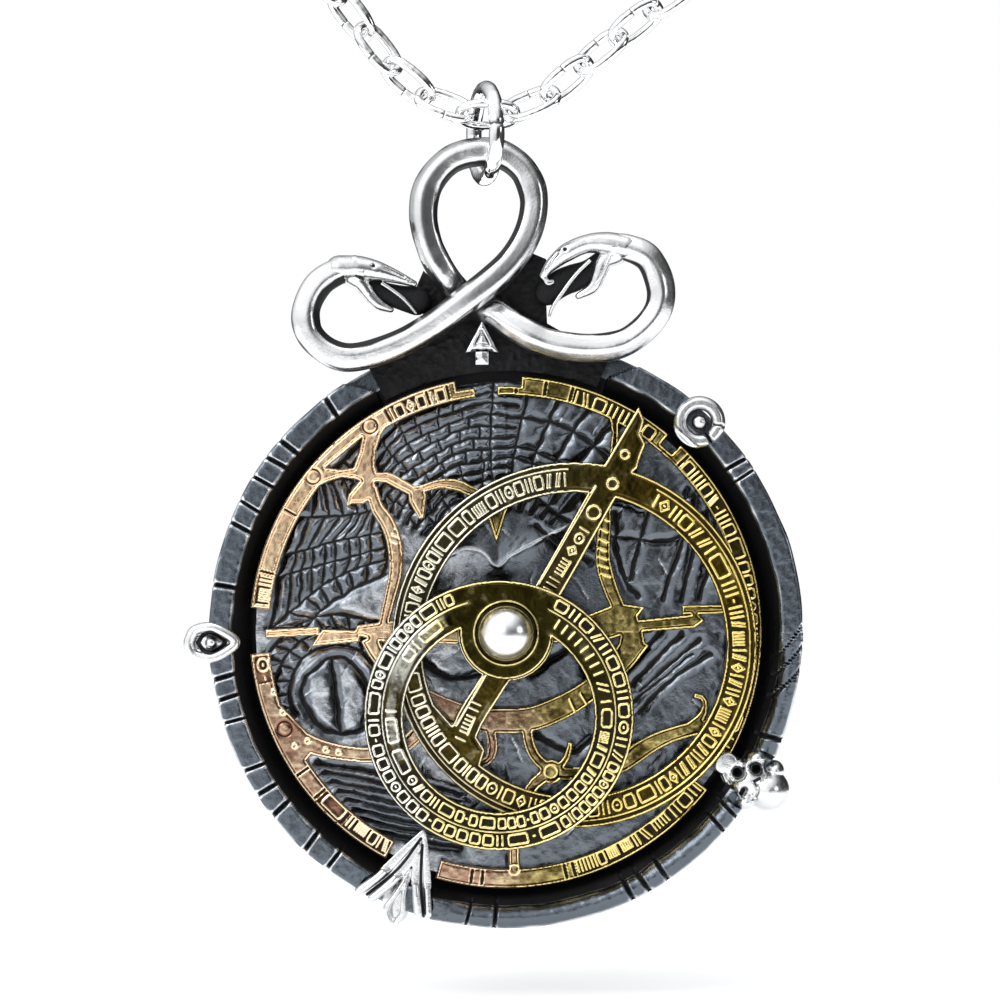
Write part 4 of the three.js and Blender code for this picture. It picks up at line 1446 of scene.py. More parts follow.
@dataclass
class Serpent:
    """The two-headed serpent that makes the bail."""

    radius: float = 1.08
    height: float = 3.9
    sides: int = 32
    per: int = 26
    path: tuple[Point3, ...] = (
        (-10.8, 27.9, 0.1), (-12.43, 28.05, 0.0), (-14.45, 26.94, 0.0), (-15.5, 24.7, 0.0),
        (-14.9, 22.6, 0.0),
        (-12.5, 21.2, 0.1), (-9.19, 21.85, 0.2), (-5.87, 23.55, 0.45), (-3.01, 25.63, 0.75),
        (-0.08, 28.1, 0.6),
        (1.62, 30.65, 0.2), (2.16, 33.35, 0.0), (1.4, 35.55, 0.0), (-0.3, 36.85, 0.0), (-2.16, 37.06, 0.0),
        (-4.32, 36.4, 0.0), (-5.95, 34.51, 0.0), (-6.35, 32.19, 0.0), (-5.87, 29.88, -0.1),
        (-4.9, 27.9, -0.4),
        (-3.7, 26.4, -1.2), (-2.3, 25.3, -1.5), (-0.9, 24.75, -0.75), (0.9, 23.5, 0.0), (3.24, 22.4, 0.1),
        (6.33, 21.95, 0.1), (9.19, 22.4, 0.1), (11.4, 24.3, 0.0), (11.95, 26.4, 0.0), (11.05, 28.75, 0.0),
        (9.4, 29.65, 0.05), (8.1, 29.75, 0.1))

    def _body(self) -> Shell:
        """Sweeps the body, a little uneven, as if drawn down by hand.

        Returns:
            The body, with its marks.
        """
        line = smooth_line([(x, y, self.height + z) for x, y, z in self.path], self.per)
        along = np.arange(len(line)) * 0.12
        radii = self.radius * (1 + 0.035 * grain(along, 0 * along, 1.7, 51))
        taper = np.minimum(np.arange(len(line)), np.arange(len(line))[::-1]) / self.per
        radii = radii * (0.88 + 0.12 * step(taper, 0.0, 2.0))
        shell = swept(line, radii, self.sides)
        turn = np.tile(np.linspace(0, 2 * np.pi, self.sides, endpoint=False), len(line))
        faceted = 0.05 * self.radius * np.cos(5 * turn + np.repeat(along * 0.05, self.sides))
        shell.points[:len(turn)] += shell.normals()[:len(turn)] * faceted[:, None]
        away = shell.normals()
        # Painted shade: the back-facing sides, the back half of the wire, the stretch that runs under the
        # crossing and the sides facing into and out of the loops are darkened.
        low = step(-away[:, 2], -0.22, 0.3)
        sunk = step(self.height - shell.points[:, 2], 0.1, 0.9) * 0.45
        uneven = 0.22 * grain(shell.points[:, 0], shell.points[:, 1], 0.9, 52)
        crossing = np.exp(-(np.hypot(shell.points[:, 0] + 2.6, shell.points[:, 1] - 25.9) / 1.7) ** 2)
        under = crossing * step(4.1 - shell.points[:, 2], -0.25, 0.4)
        shell.marks["hollow"] = np.clip(low * 0.85 + sunk + uneven * low + under
                                        + self._loop_shade(shell, away), 0, 1)
        # Painted highlight, with the polish of the crest: the sides that face the front are brightened.
        shell.marks["worn"] = step(away[:, 2], 0.35, 0.9)
        return shell

    @staticmethod
    def _loop_shade(shell: Shell, away: np.ndarray) -> np.ndarray:
        """Painted shade on the sides that face into the three loops, and on the sides that face out of them.

        Args:
            shell: what is worked on.
            away: the surface direction at each point.

        Returns:
            How dark each point is.
        """
        middles = np.array([(-11.2, 24.7), (-2.1, 32.9), (7.4, 26.1)])
        to_middle = middles[None] - shell.points[:, None, :2]
        reach = np.linalg.norm(to_middle, axis=2)
        nearest = reach.argmin(1)
        rows = np.arange(len(shell.points))
        inward = to_middle[rows, nearest] / reach[rows, nearest][:, None]
        facing = (away[:, :2] * inward).sum(1)
        ripple = 0.12 * grain(shell.points[:, 0], shell.points[:, 1], 1.3, 53)
        return step(facing + ripple, 0.5, 0.78) * 0.95 + step(-facing + ripple, 0.84, 0.98) * 0.7

    def _left_head(self) -> Shell:
        """Models the left head: a long upper jaw, a hooked lower jaw, an eye and a brow.

        Returns:
            The head.
        """
        z = self.height
        clay = Clay(0.085)
        clay.roll([(-12.9, 28.1, z), (-11.3, 28.1, z + 0.05), (-9.9, 27.85, z + 0.1), (-8.4, 27.4, z),
                   (-7.1, 26.9, z - 0.15)],
                  (1.0, 0.95, 0.78, 0.5, 0.26), 1.15)
        clay.roll([(-11.8, 27.5, z - 0.15), (-11.1, 26.9, z - 0.1), (-10.5, 26.0, z - 0.1),
                   (-9.8, 25.3, z - 0.15),
                   (-8.9, 24.9, z - 0.3)], (0.85, 0.66, 0.5, 0.46, 0.26))
        clay.ball((-10.3, 28.2, z + 0.6), (0.4, 0.3, 0.4)).ball((-11.7, 28.3, z + 0.3), (0.7, 0.8, 0.8))
        shell = clay.weld(5)
        press(shell, [(-10.2, 28.22)], 0.15, 0.22)
        press(shell, [(-9.4, 28.1), (-8.6, 27.75), (-7.9, 27.4)], 0.1, 0.12)
        press(shell, [(-7.5, 27.1)], 0.12, 0.12)
        shell.age(7, 0.06)
        blacken(shell, [(-10.4, 26.95), (-9.6, 26.6)], 0.22)
        return blacken(shell, [(-10.2, 28.22)], 0.17)

    def _right_head(self) -> Shell:
        """Models the right head: a curved snout with a nostril curl, and a fang under the jaw.

        Returns:
            The head.
        """
        z = self.height
        clay = Clay(0.085)
        clay.roll([(9.2, 29.7, z), (7.7, 30.0, z + 0.05), (6.2, 29.95, z + 0.12), (4.7, 29.3, z + 0.1),
                   (3.45, 28.3, z),
                   (2.85, 27.5, z - 0.1)], (1.0, 0.9, 0.72, 0.72, 0.5, 0.3), 1.15)
        clay.roll([(8.5, 29.2, z - 0.1), (7.6, 28.6, z - 0.1), (7.15, 27.5, z - 0.1), (6.7, 26.6, z - 0.2),
                   (5.6, 25.95, z - 0.3)],
                  (0.85, 0.62, 0.5, 0.46, 0.26))
        clay.roll([(3.0, 27.3, z), (3.25, 26.95, z + 0.05), (3.6, 27.05, z)], (0.22, 0.26, 0.2))
        clay.ball((4.55, 29.45, z + 0.55), (0.42, 0.34, 0.36))
        shell = clay.weld(5)
        press(shell, [(4.55, 29.5)], 0.15, 0.22)
        press(shell, [(4.0, 29.2), (3.5, 28.6), (3.1, 28.0)], 0.1, 0.12)
        press(shell, [(3.4, 28.9)], 0.1, 0.1)
        shell.age(7, 0.06)
        blacken(shell, [(6.9, 28.9), (6.1, 28.7)], 0.25)
        return blacken(shell, [(4.55, 29.5)], 0.17)

    def _mouths(self) -> Shell:
        """Fills the two mouths with dark metal behind the tongues.

        Returns:
            The fill.
        """
        z = self.height - 0.65
        clay = Clay(0.1)
        clay.roll([(-11.0, 27.1, z), (-9.6, 26.3, z), (-8.3, 25.9, z), (-6.9, 25.6, z)],
                  (0.8, 0.85, 0.95, 1.15), 0.45)
        clay.roll([(7.5, 28.9, z), (6.4, 27.9, z), (5.3, 27.4, z), (4.3, 27.0, z), (3.2, 26.2, z)],
                  (0.7, 0.95, 1.1, 1.1, 1.0), 0.45)
        shell = clay.weld(3)
        shell.marks["hollow"] = np.full(len(shell.points), 0.45)
        return shell

    def _tongues(self) -> Shell:
        """Draws the two thin tongues and the fang.

        Returns:
            The tongues and the fang.
        """
        z = self.height + 0.05
        lines = [
            ([(-9.6, 26.95, z), (-8.7, 26.35, z), (-7.7, 25.55, z), (-6.9, 24.6, z - 0.1)], 0.17),
            ([(6.5, 28.7, z), (5.4, 27.6, z), (4.4, 26.3, z), (3.6, 25.1, z - 0.1), (3.35, 24.4, z - 0.3)],
             0.17),
            ([(8.1, 29.1, z + 0.45), (7.7, 28.2, z + 0.42), (7.35, 27.4, z + 0.3), (6.7, 26.6, z + 0.15)],
             0.14),
        ]
        shells = []
        for points, size in lines:
            line = smooth_line(points, 10)
            radii = size * (1 - 0.45 * np.linspace(0, 1, len(line)) ** 3)
            shells.append(swept(line, radii, 12, 1.3))
        whole = Shell.joined(shells)
        # Painted shade: the back-facing half of the tongues and the fang is darkened.
        whole.marks["hollow"] = 0.9 * step(-whole.normals()[:, 2], -0.1, 0.4)
        return whole

    def make(self, dial: Dial) -> None:
        """Builds and dresses the serpent.

        Args:
            dial: where the dial stands.
        """
        metal = finish(Metal.SERPENT)
        dial.piece("serpent_body", self._body(), metal, "mater",
                   ["serpent_left", "serpent_right"])
        dial.piece("serpent_head_left", self._left_head(), metal, "mater")
        dial.piece("serpent_head_right", self._right_head(), metal, "mater")
        dial.piece("serpent_tongues", self._tongues(), metal, "mater")
        dial.piece("serpent_mouths", self._mouths(), finish(Metal.CHASM), "mater")


@dataclass
class Bosses:
    """The four castings round the rim: an eye, a ringed stud, a small skull and a split feather."""

    voxel: float = 0.08
    sockets: tuple[Point, ...] = ((17.85, -10.8), (19.3, -10.55))

    def _eye(self) -> Shell:
        """Models the almond eye on the left.

        Returns:
            The eye.
        """
        outline = [(-24.45, -0.8, 4.4), (-24.05, 0.1, 4.4), (-22.9, 0.4, 4.5), (-21.8, 0.05, 4.5),
                   (-20.85, -0.78, 4.4),
                   (-21.8, -1.65, 4.5), (-22.9, -2.0, 4.5), (-24.05, -1.7, 4.4)]
        clay = Clay(self.voxel)
        clay.roll([*outline, outline[0], outline[1]], (0.4, 0.4))
        clay.roll([(-23.5, -0.8, 3.3), (-22.7, -0.8, 3.3), (-21.5, -0.8, 3.3)], (0.95, 1.15, 0.7), 1.0)
        clay.roll([(-22.7, -0.8, 2.2), (-22.7, -0.8, 3.3)], (1.3, 1.2))
        clay.ball((-22.75, -0.8, 4.25), (0.42, 0.42, 0.42))
        shell = clay.weld(2)
        almond = [(-23.75, -0.8), (-23.3, -0.2), (-22.6, -0.05),
                  (-21.7, -0.8), (-22.6, -1.5), (-23.3, -1.4), (-23.75, -0.8)]
        shell.points[:, 2] = np.maximum(shell.points[:, 2], 1.0)
        clear_of_plates(shell).age(8, 0.08)
        blacken(shell, almond, 0.2)
        deep = step(-shell.points[:, 2], -4.1, -3.7) * (np.abs(shell.points[:, 0] + 22.6) < 1.6)
        shell.marks["hollow"] = np.clip(shell.marks["hollow"] + deep * 0.8, 0, 1)
        return shell

    def _stud(self) -> Shell:
        """Models the ringed stud at the upper right.

        Returns:
            The stud.
        """
        x, y = 14.9, 16.2
        clay = Clay(self.voxel)
        ring = [(*polar((x, y), 1.48, a), 4.35) for a in np.linspace(0, 360, 24)]
        clay.roll(ring, (0.54, 0.54), 1.3)
        clay.roll([(x, y, 1.8), (x, y, 3.7)], (1.6, 1.6))
        clay.ball((x, y, 4.3), (0.6, 0.6, 0.62))
        shell = clay.weld(3)
        press(shell, [(x + 0.5, y - 0.9), (x + 1.1, y - 1.9)], 0.13, 0.55)
        press(shell, [(x + 1.1, y - 0.2), (x + 1.9, y - 0.3)], 0.1, 0.25)
        shell.points[:, 2] = np.clip(shell.points[:, 2], 1.0, 5.0)
        clear_of_plates(shell).age(8, 0.09)
        blacken(shell, [polar((x, y), 0.86, a) for a in range(0, 361, 20)], 0.17)
        return blacken(shell, [(x + 0.6, y - 1.0), (x + 1.1, y - 1.9)], 0.12)

    def _skull(self) -> Shell:
        """Models the little skull at the lower right.

        Returns:
            The skull.
        """
        clay = Clay(0.07)
        clay.ball((20.2, -12.2, 3.5), (1.7, 1.65, 2.4)).ball((18.9, -11.5, 3.5), (1.7, 1.5, 1.9))
        clay.ball((16.95, -10.1, 3.6), (1.0, 0.95, 1.6)).ball((19.3, -9.75, 3.6), (0.85, 0.8, 1.6))
        clay.ball((18.5, -13.1, 3.4), (0.85, 0.65, 1.6)).ball((20.75, -10.7, 3.4), (0.75, 0.8, 1.5))
        clay.ball((17.9, -10.9, 3.3), (1.4, 1.2, 1.5)).ball((18.55, -10.45, 4.3), (0.28, 0.6, 0.75))
        shell = clay.weld(4)
        for eye in self.sockets:
            press(shell, [eye], 0.42, 1.3)
        press(shell, [(18.3, -12.1), (18.15, -12.4)], 0.2, 0.7)
        press(shell, [(19.0, -12.9), (19.3, -12.1), (19.1, -11.5)], 0.1, 0.2)
        press(shell, [(16.9, -10.9), (17.3, -11.6)], 0.12, 0.3)
        shell.points[:, 2] = np.maximum(shell.points[:, 2], 1.0)
        clear_of_plates(shell).age(9, 0.1)
        for eye in self.sockets:
            blacken(shell, [eye], 0.44)
        blacken(shell, [(18.3, -12.1), (18.15, -12.45)], 0.17)
        return blacken(shell, [(19.1, -11.4), (19.5, -11.2)], 0.14)

    def _feather(self) -> Shell:
        """Models the split feather at the bottom: two grooved prongs and a rounded middle lobe.

        Returns:
            The feather.
        """
        strands = [
            ([(-6.35, -15.4), (-7.9, -16.9), (-9.5, -18.5), (-11.3, -19.9)], (0.2, 0.3, 0.36, 0.36)),
            ([(-6.65, -16.5), (-7.6, -17.9), (-8.8, -19.2), (-10.3, -20.45)], (0.2, 0.32, 0.36, 0.34)),
            ([(-6.3, -15.5), (-6.15, -17.4), (-6.05, -19.6), (-5.95, -21.7)], (0.2, 0.27, 0.3, 0.3)),
            ([(-6.75, -17.1), (-7.0, -18.7), (-6.9, -20.3), (-6.75, -21.7)], (0.2, 0.3, 0.34, 0.34)),
            ([(-7.7, -18.9), (-8.5, -20.2), (-9.2, -21.2), (-9.0, -22.2)], (0.14, 0.2, 0.24, 0.24)),
            ([(-7.6, -18.9), (-7.9, -20.4), (-8.0, -21.6), (-8.5, -22.4)], (0.14, 0.2, 0.24, 0.24)),
        ]
        clay = Clay(0.065)
        for points, radii in strands:
            line = [(x, y, 4.3 + 0.3 * step(np.hypot(x, y), 19.5, 21.5)) for x, y in points]
            clay.roll(line, radii, 1.35)
        clay.roll([(-8.6, -20.6, 2.4), (-8.5, -21.6, 2.4)], (1.2, 1.0), 1.2)
        clay.roll([(-6.5, -20.4, 3.0), (-6.35, -21.4, 3.0)], (0.62, 0.62), 1.5)
        clay.roll([(-9.3, -19.3, 3.0), (-10.6, -19.9, 3.0)], (0.75, 0.6), 1.4)
        spines = [
            [(-6.5, -15.9, 4.0), (-8.4, -18.3, 4.0), (-10.6, -20.1, 4.0)],
            [(-6.5, -15.9, 4.0), (-6.6, -18.5, 4.0), (-6.35, -21.5, 4.0)],
            [(-7.4, -18.4, 4.0), (-8.2, -20.2, 4.0), (-8.5, -21.7, 4.0)],
        ]
        for spine in spines:
            clay.roll(spine, (0.25, 0.55, 0.6), 0.5)
        shell = clay.weld(4)
        shell.points[:, 2] = np.clip(shell.points[:, 2], 1.0, 5.05)
        clear_of_plates(shell).age(8, 0.13)
        grooves = [
            [(-6.55, -15.9), (-8.3, -18.2), (-10.7, -20.2)],
            [(-6.45, -16.4), (-6.55, -19.0), (-6.35, -21.9)],
        ]
        for groove in grooves:
            blacken(shell, groove, 0.13)
        return shell

    def make(self, dial: Dial) -> None:
        """Builds and dresses the four.

        Args:
            dial: where the dial stands.
        """
        metal = finish(Metal.BOSS)
        castings = [
            ("eye_casting", self._eye, "eye_boss"), ("stud_casting", self._stud, "stud_bezel"),
            ("skull_casting", self._skull, "skull_boss"), ("feather_casting", self._feather, "feather_boss"),
        ]
        for name, model, node in castings:
            dial.piece(name, model(), metal, "mater", [node])


# ---- etched plates


def straight(first: Point, last: Point, width: float) -> Track:
    """A straight track, drawn as a short arc of a very wide circle.

    Args:
        first: where it starts.
        last: where it ends.
        width: its width.

    Returns:
        The track.
    """
    a, b = np.asarray(first), np.asarray(last)
    along = (b - a) / np.linalg.norm(b - a)
    reach = 400.0
    centre = (a + b) / 2 + np.array([along[1], -along[0]]) * reach
    start = math.degrees(math.atan2(a[1] - centre[1], a[0] - centre[0]))
    turn = math.degrees(np.linalg.norm(b - a) / reach)
    return Track(tuple(centre), reach, width, start, start - turn)


def ring_line(centre: Point, radius: float, turn: int) -> np.ndarray:
    """A small ring, drawn with a corner at every so many degrees."""
    return segments_of(np.array([polar(centre, radius, a) for a in range(0, 360, turn)]), True)


def arc_mask(plot: Plot, centre: Point, inner: float, outer: float, start: float, stop: float) -> np.ndarray:
    """Which points lie in a stretch of a ring.

    Args:
        plot: the grid.
        centre: its middle.
        inner: the ring's inner radius.
        outer: the ring's outer radius.
        start: the angle that it starts at.
        stop: the angle that it ends at.

    Returns:
        True for each point inside.
    """
    radius = np.hypot(plot.x - centre[0], plot.y - centre[1])
    angle = (np.degrees(np.arctan2(plot.y - centre[1], plot.x - centre[0])) - start) % 360
    return (radius > inner) & (radius < outer) & (angle < (stop - start) % 360)


@dataclass
class EtchedPlate:
    """What the three etched plates share: a bright line round every edge and marks struck between."""

    pitch: float = 0.064
    line_height: float = 0.17
    edge_inset: float = 0.12
    mark_half: float = 0.06
    soft: float = 0.08

    def edge(self, depth: np.ndarray) -> np.ndarray:
        """The raised line along the outline."""
        return ridge(np.abs(depth - self.edge_inset), 0.035, self.soft, self.line_height)

    def struck(self, plot: Plot, lines: Sequence[np.ndarray], half: float = 0.0) -> np.ndarray:
        """The raised marks."""
        return ridge(plot.distance(np.vstack(lines), 0.4), half or self.mark_half, self.soft,
                     self.line_height * 0.92)

    def sheet_wave(self, plot: Plot) -> np.ndarray:
        """The faint unevenness of etched sheet."""
        return 0.01 * grain(plot.x, plot.y, 0.3, 61) + 0.012 * grain(plot.x, plot.y, 1.3, 62)

    def lay(self, dial: Dial, name: str, node: str, outline: "PlateOutline", plot: Plot, height: np.ndarray,
            material: bpy.types.Material, slot: str) -> None:
        """Cuts the relief to the plate and lays it on top.

        Args:
            dial: where the dial stands.
            name: the piece's name.
            node: the CAD node.
            outline: the plate's outline.
            plot: the grid.
            height: a height at each point.
            material: its finish.
            slot: the record's material slot; not used.
        """
        depth = outline.depth_of(plot)
        height = np.maximum(height + self.sheet_wave(plot), 0.004) + 0.006
        skin = plot.skin(depth, height, outline.top, 0.05, self.line_height, 0.075)
        dial.piece(name, skin, material, node_body(node), crease=65)
        dress(node, material)


@dataclass
class Rete(EtchedPlate):
    """The lowest pierced plate: a broken outer band with tracery inside it."""

    cross_cuts: tuple[float, ...] = (
        103.6, 108.4, 118.6, 151.0, 166.0, 87.6, 80.8, 74.6, 44.0, 214.5, 221.0, 262.0, 264.5, 284.0, 286.0)
    rings: tuple[Point, ...] = ((-10.5, 15.9), (-14.9, 12.0), (-17.1, -7.5))
    studs: tuple[Point, ...] = (
        (-17.9, -4.6), (-17.2, -6.2), (-16.3, -8.8), (-15.3, -8.4), (-13.9, -9.1), (-12.9, -9.3))

    def _tracks(self) -> list[tuple[Track, str]]:
        """Where the band carries marks in place of flats.

        Returns:
            Each track with its pattern.
        """
        spans = [
            (166.5, 174.3, "iiihi"), (103.9, 108.1, "bu"), (108.7, 118.0, "cuci"), (52.5, 74.0, "coiiiiczi"),
            (-1.0, 43.5, "iicocccbciiidzciiic"), (-28.5, -2.0, "iiciiiici"), (185.6, 192.0, "od"),
            (221.5, 229.5, "b"), (229.8, 241.6, "iihciz"), (286.6, 303.0, "iiiiiichhii"),
            (303.2, 321.6, "zhiicii"),
        ]
        return [(Track((0.0, 0.0), 18.95, 1.05, low, high), marks) for low, high, marks in spans]

    def make(self, dial: Dial) -> None:
        """Works the relief.

        Args:
            dial: where the dial stands.
        """
        outline = PlateOutline(dial, "rete")
        plot = outline.plot(self.pitch)
        depth = outline.depth_of(plot)
        flats = 0.1 * step(depth, 0.2, 0.3)
        lines = []
        for track, pattern in self._tracks():
            flats[arc_mask(plot, (0, 0), 17.6, 20.5, track.start, track.stop)] = 0
            lines.append(track.strike(pattern))
        cuts = [segments_of(np.array([polar((0, 0), 17.9, a), polar((0, 0), 20.0, a)]))
                for a in self.cross_cuts]
        cut = plot.distance(np.vstack(cuts), 0.6)
        flats *= step(cut, 0.1, 0.2)
        beside = ridge(np.abs(cut - 0.16), 0.02, 0.07, self.line_height * 0.8) * (depth > 0.1)
        dimple = np.full(plot.x.shape, 9.0)
        for x, y in self.rings:
            dimple = np.minimum(dimple, np.hypot(plot.x - x, plot.y - y))
        flats *= 1 - np.exp(-(((dimple - 0.56) / 0.13) ** 2))
        lines.append(Track((0.0, 4.0), 9.2, 0.6, 150, 182).strike("iiii  iiii"))
        rungs = smooth_line([(8.3, 14.0), (8.1, 12.2), (7.75, 9.5), (7.55, 7.2), (7.5, 5.4), (7.9, 3.6)], 8)
        for a, b in zip(rungs[:-2:3], rungs[2::3]):
            lines.append(np.array([[a[0] - 0.32, a[1], b[0] + 0.28, (a[1] + b[1]) / 2]]))
        lines.append(Track((0.6, 4.2), 10.9, 1.3, 292, 308).strike("iii"))
        lines += [ring_line((0.65, -18.35), 0.4, 30), ring_line((3.5, -10.8), 0.5, 30)]
        lines += [ring_line(stud, 0.2, 45) for stud in self.studs]
        height = np.maximum.reduce([self.edge(depth), flats, beside,
                                    self.struck(plot, lines) * (depth > 0.05)])
        self.lay(dial, "rete_etching", "rete", outline, plot, height, etched(Brass.RETE, dial),
                 "copper_brass_etched")


@dataclass
class RuleRing(EtchedPlate):
    """The middle plate: an off-centre ring with an arm that ends in the pointer."""

    centre: Point = (5.25, -0.93)
    row: float = 12.72
    second_line: float = 13.52

    def make(self, dial: Dial) -> None:
        """Works the relief.

        Args:
            dial: where the dial stands.
        """
        outline = PlateOutline(dial, "rule_ring")
        plot = outline.plot(self.pitch)
        depth = outline.depth_of(plot)
        second = np.abs(np.hypot(plot.x - self.centre[0], plot.y - self.centre[1]) - self.second_line)
        hub = np.hypot(plot.x, plot.y)
        clear = ~arc_mask(plot, self.centre, 0, 30, 62, 92) & (hub > 4.0)
        doubled = ridge(second, 0.035, self.soft, self.line_height * 0.85) * clear
        spans = [
            (92.5, 128, "hciiociiczzi"), (128, 165, "zuzcocibbc"), (165, 206, "ccbiiccuiic"),
            (206, 238, "ccicbciic"),
            (238, 292, "coiiciiuzciiucio"), (292, 330, "ucziizziucib"), (330, 372, "iizhizuiziiuhi"),
            (12, 61.5, "iuiiczzibiiidi"),
        ]
        lines = [Track(self.centre, self.row, 1.12, high, low).strike(marks) for low, high, marks in spans]
        lines.append(straight((2.9, 2.7), (6.15, 8.1), 0.85).strike("iiiihuoi"))
        lines.append(straight((-3.6, -8.4), (-2.2, -5.2), 0.85).strike("ihii"))
        lines += [ring_line((6.75, 9.25), 0.52, 24), ring_line((8.2, 11.45), 0.42, 30),
                  ring_line((9.15, 13.7), 0.33, 36)]
        lines.append(segments_of(np.array([(7.62, 12.85), (10.05, 16.95)])))
        lines.append(segments_of(np.array([(7.5, 10.9), (-3.2, -7.5)]) + (-0.62, 0.36)))
        hub_line = ridge(np.abs(hub - 2.75), 0.03, self.soft, self.line_height * 0.6)
        struck = self.struck(plot, lines) * (depth > 0.05)
        height = np.maximum.reduce([self.edge(depth), doubled, struck, hub_line,
                                    0.03 * step(depth, 0.3, 0.5)])
        self.lay(dial, "rule_etching", "rule_ring", outline, plot, height, etched(Brass.RULE, dial),
                 "brass_etched")


@dataclass
class LabelRing(EtchedPlate):
    """The top plate: a ring with two rows of cells, held by the disc round the rivet."""

    centre: Point = (-0.54, -6.3)
    split: float = 8.95
    outer_row: float = 9.6
    inner_row: float = 8.28

    def make(self, dial: Dial) -> None:
        """Works the relief.

        Args:
            dial: where the dial stands.
        """
        outline = PlateOutline(dial, "label_ring")
        plot = outline.plot(self.pitch)
        depth = outline.depth_of(plot)
        radius = np.hypot(plot.x - self.centre[0], plot.y - self.centre[1])
        hub = np.hypot(plot.x, plot.y)
        middle = ridge(np.abs(radius - self.split), 0.035, self.soft, self.line_height * 0.8) * (hub > 3.7)
        outer_rows = [(111, 168, "cobiccocbiic"), (168, 206, "ccdcib"), (206, 262, "ccccdcccoc"),
                      (262, 300, "bdbiic"),
                      (300, 338, "ccoccccic"), (338, 424, "ciicziicciicoiiz")]
        inner_rows = [(120, 150, "cib"), (176, 214, "bbi"), (214, 236, "iiczo"), (236, 292, "cdcccbcdcb"),
                      (292, 322, "cccoc"), (322, 352, "hzbzc"), (352, 420, "iiiiiiiizic")]
        lines = []
        for rows, ring in ((outer_rows, self.outer_row), (inner_rows, self.inner_row)):
            for low, high, marks in rows:
                lines.append(Track(self.centre, ring, 0.84, high, low).strike(marks))
        swell = arc_mask(plot, self.centre, 7.75, 8.8, 118, 206) * 0.1
        swell = plot.softened(swell, 0.16)
        hub_line = ridge(np.abs(hub - 2.45), 0.05, self.soft, self.line_height * 0.75)
        struck = self.struck(plot, lines) * (depth > 0.05) * (hub > 3.3)
        height = np.maximum.reduce([self.edge(depth), middle, struck, hub_line, swell * (hub > 3.4)])
        self.lay(dial, "label_etching", "label_ring", outline, plot, height, etched(Brass.LABEL, dial),
                 "brass_etched")


# ---- rivet, ring and chain


@dataclass
class Rivet:
    """The rivet: a domed polished head, a plain shank and a flat tail."""

    head: float = 2.12
    base: float = 6.55
    top: float = 8.9
    shank: float = 1.15

    def make(self, dial: Dial) -> None:
        """Builds and dresses the rivet and its washers.

        Args:
            dial: where the dial stands.
        """
        tail = [(0.05, 0.05), (1.95, 0.05), (2.1, 0.12), (2.1, 0.25), (2.05, 0.3), (self.shank, 0.3),
                (self.shank, self.base)]
        lip = [(self.head - 0.1, self.base), (self.head, self.base + 0.08), (self.head, self.base + 0.2)]
        rise = self.top - self.base - 0.2
        dome = [(self.head * math.cos(t), self.base + 0.2 + rise * math.sin(t))
                for t in np.linspace(0.08, 1.55, 26)]
        shell = turned([*tail, *lip, *dome], (0, 0, 0), 96)
        shell.marks["hollow"] = 0.7 * step(-shell.points[:, 2], -self.base - 0.25, -self.base)
        dial.piece("rivet_dome", shell, finish(Metal.DOME), "mater", ["rivet"], 35)
        for node in ("base_washer", "spacer_washer", "upper_washer"):
            dress(node, etched(Brass.RULE, dial))


class WireFrame:
    """The middle and the three directions of a CAD ring or link, longest first."""

    def __init__(self, dial: Dial, node: str) -> None:
        """Measures the node.

        Args:
            dial: where the dial stands.
            node: the CAD node.
        """
        points = dial.unplace(np.array([v.co for v in bpy.data.objects[node].data.vertices]))
        unique = np.unique(np.round(points, 3), axis=0)
        self.middle = unique.mean(0)
        _, _, rows = np.linalg.svd(unique - self.middle, full_matrices=False)
        self.long, self.wide = rows[0], rows[1]
        self.through = np.cross(self.long, self.wide)

    def place(self, flat: np.ndarray) -> np.ndarray:
        """Turns points of the wire's own plane into dial points."""
        axes = np.stack([self.long, self.wide, self.through])
        return self.middle + flat @ axes


def wire_loop(frame: WireFrame, radius: float, straight_run: float, wire: float, sides: int,
              count: int) -> Shell:
    """Bends a wire into a ring or a long link and closes it.

    Args:
        frame: where it lies.
        radius: the radius of its round ends.
        straight_run: the length of its sides.
        wire: the wire's radius.
        sides: how many points go round the wire.
        count: how many sections it has.

    Returns:
        The closed loop.
    """
    turn = np.linspace(0, 2 * np.pi, count, endpoint=False)
    power = 2 / (2 + 0.3 * straight_run)
    ahead = np.sign(np.cos(turn)) * np.abs(np.cos(turn)) ** power
    aside = np.sign(np.sin(turn)) * np.abs(np.sin(turn)) ** power
    line = np.stack([(radius + straight_run / 2) * ahead, radius * aside, 0 * turn], 1)
    if straight_run:
        gaps = np.linalg.norm(np.roll(line, -1, 0) - line, axis=1)
        along = np.concatenate([[0], np.cumsum(gaps)])
        closed_line = np.vstack([line, line[:1]])
        even = np.linspace(0, along[-1], count, endpoint=False)
        line = np.stack([np.interp(even, along, closed_line[:, k]) for k in range(3)], 1)
    seam = 1 - 0.16 * np.exp(-(((turn - 1.45) / 0.035) ** 2))
    shell = swept(line, wire * seam, sides, closed=True)
    beaten = wire * 0.035 * grain(shell.points[:, 0] * 3, shell.points[:, 1] * 3, 0.9, 71)
    shell.points += shell.normals() * beaten[:, None]
    worn = np.repeat(1 - seam, sides) * 6
    shell.points = frame.place(shell.points)
    shell.marks["hollow"] = np.clip(worn, 0, 1)
    return shell


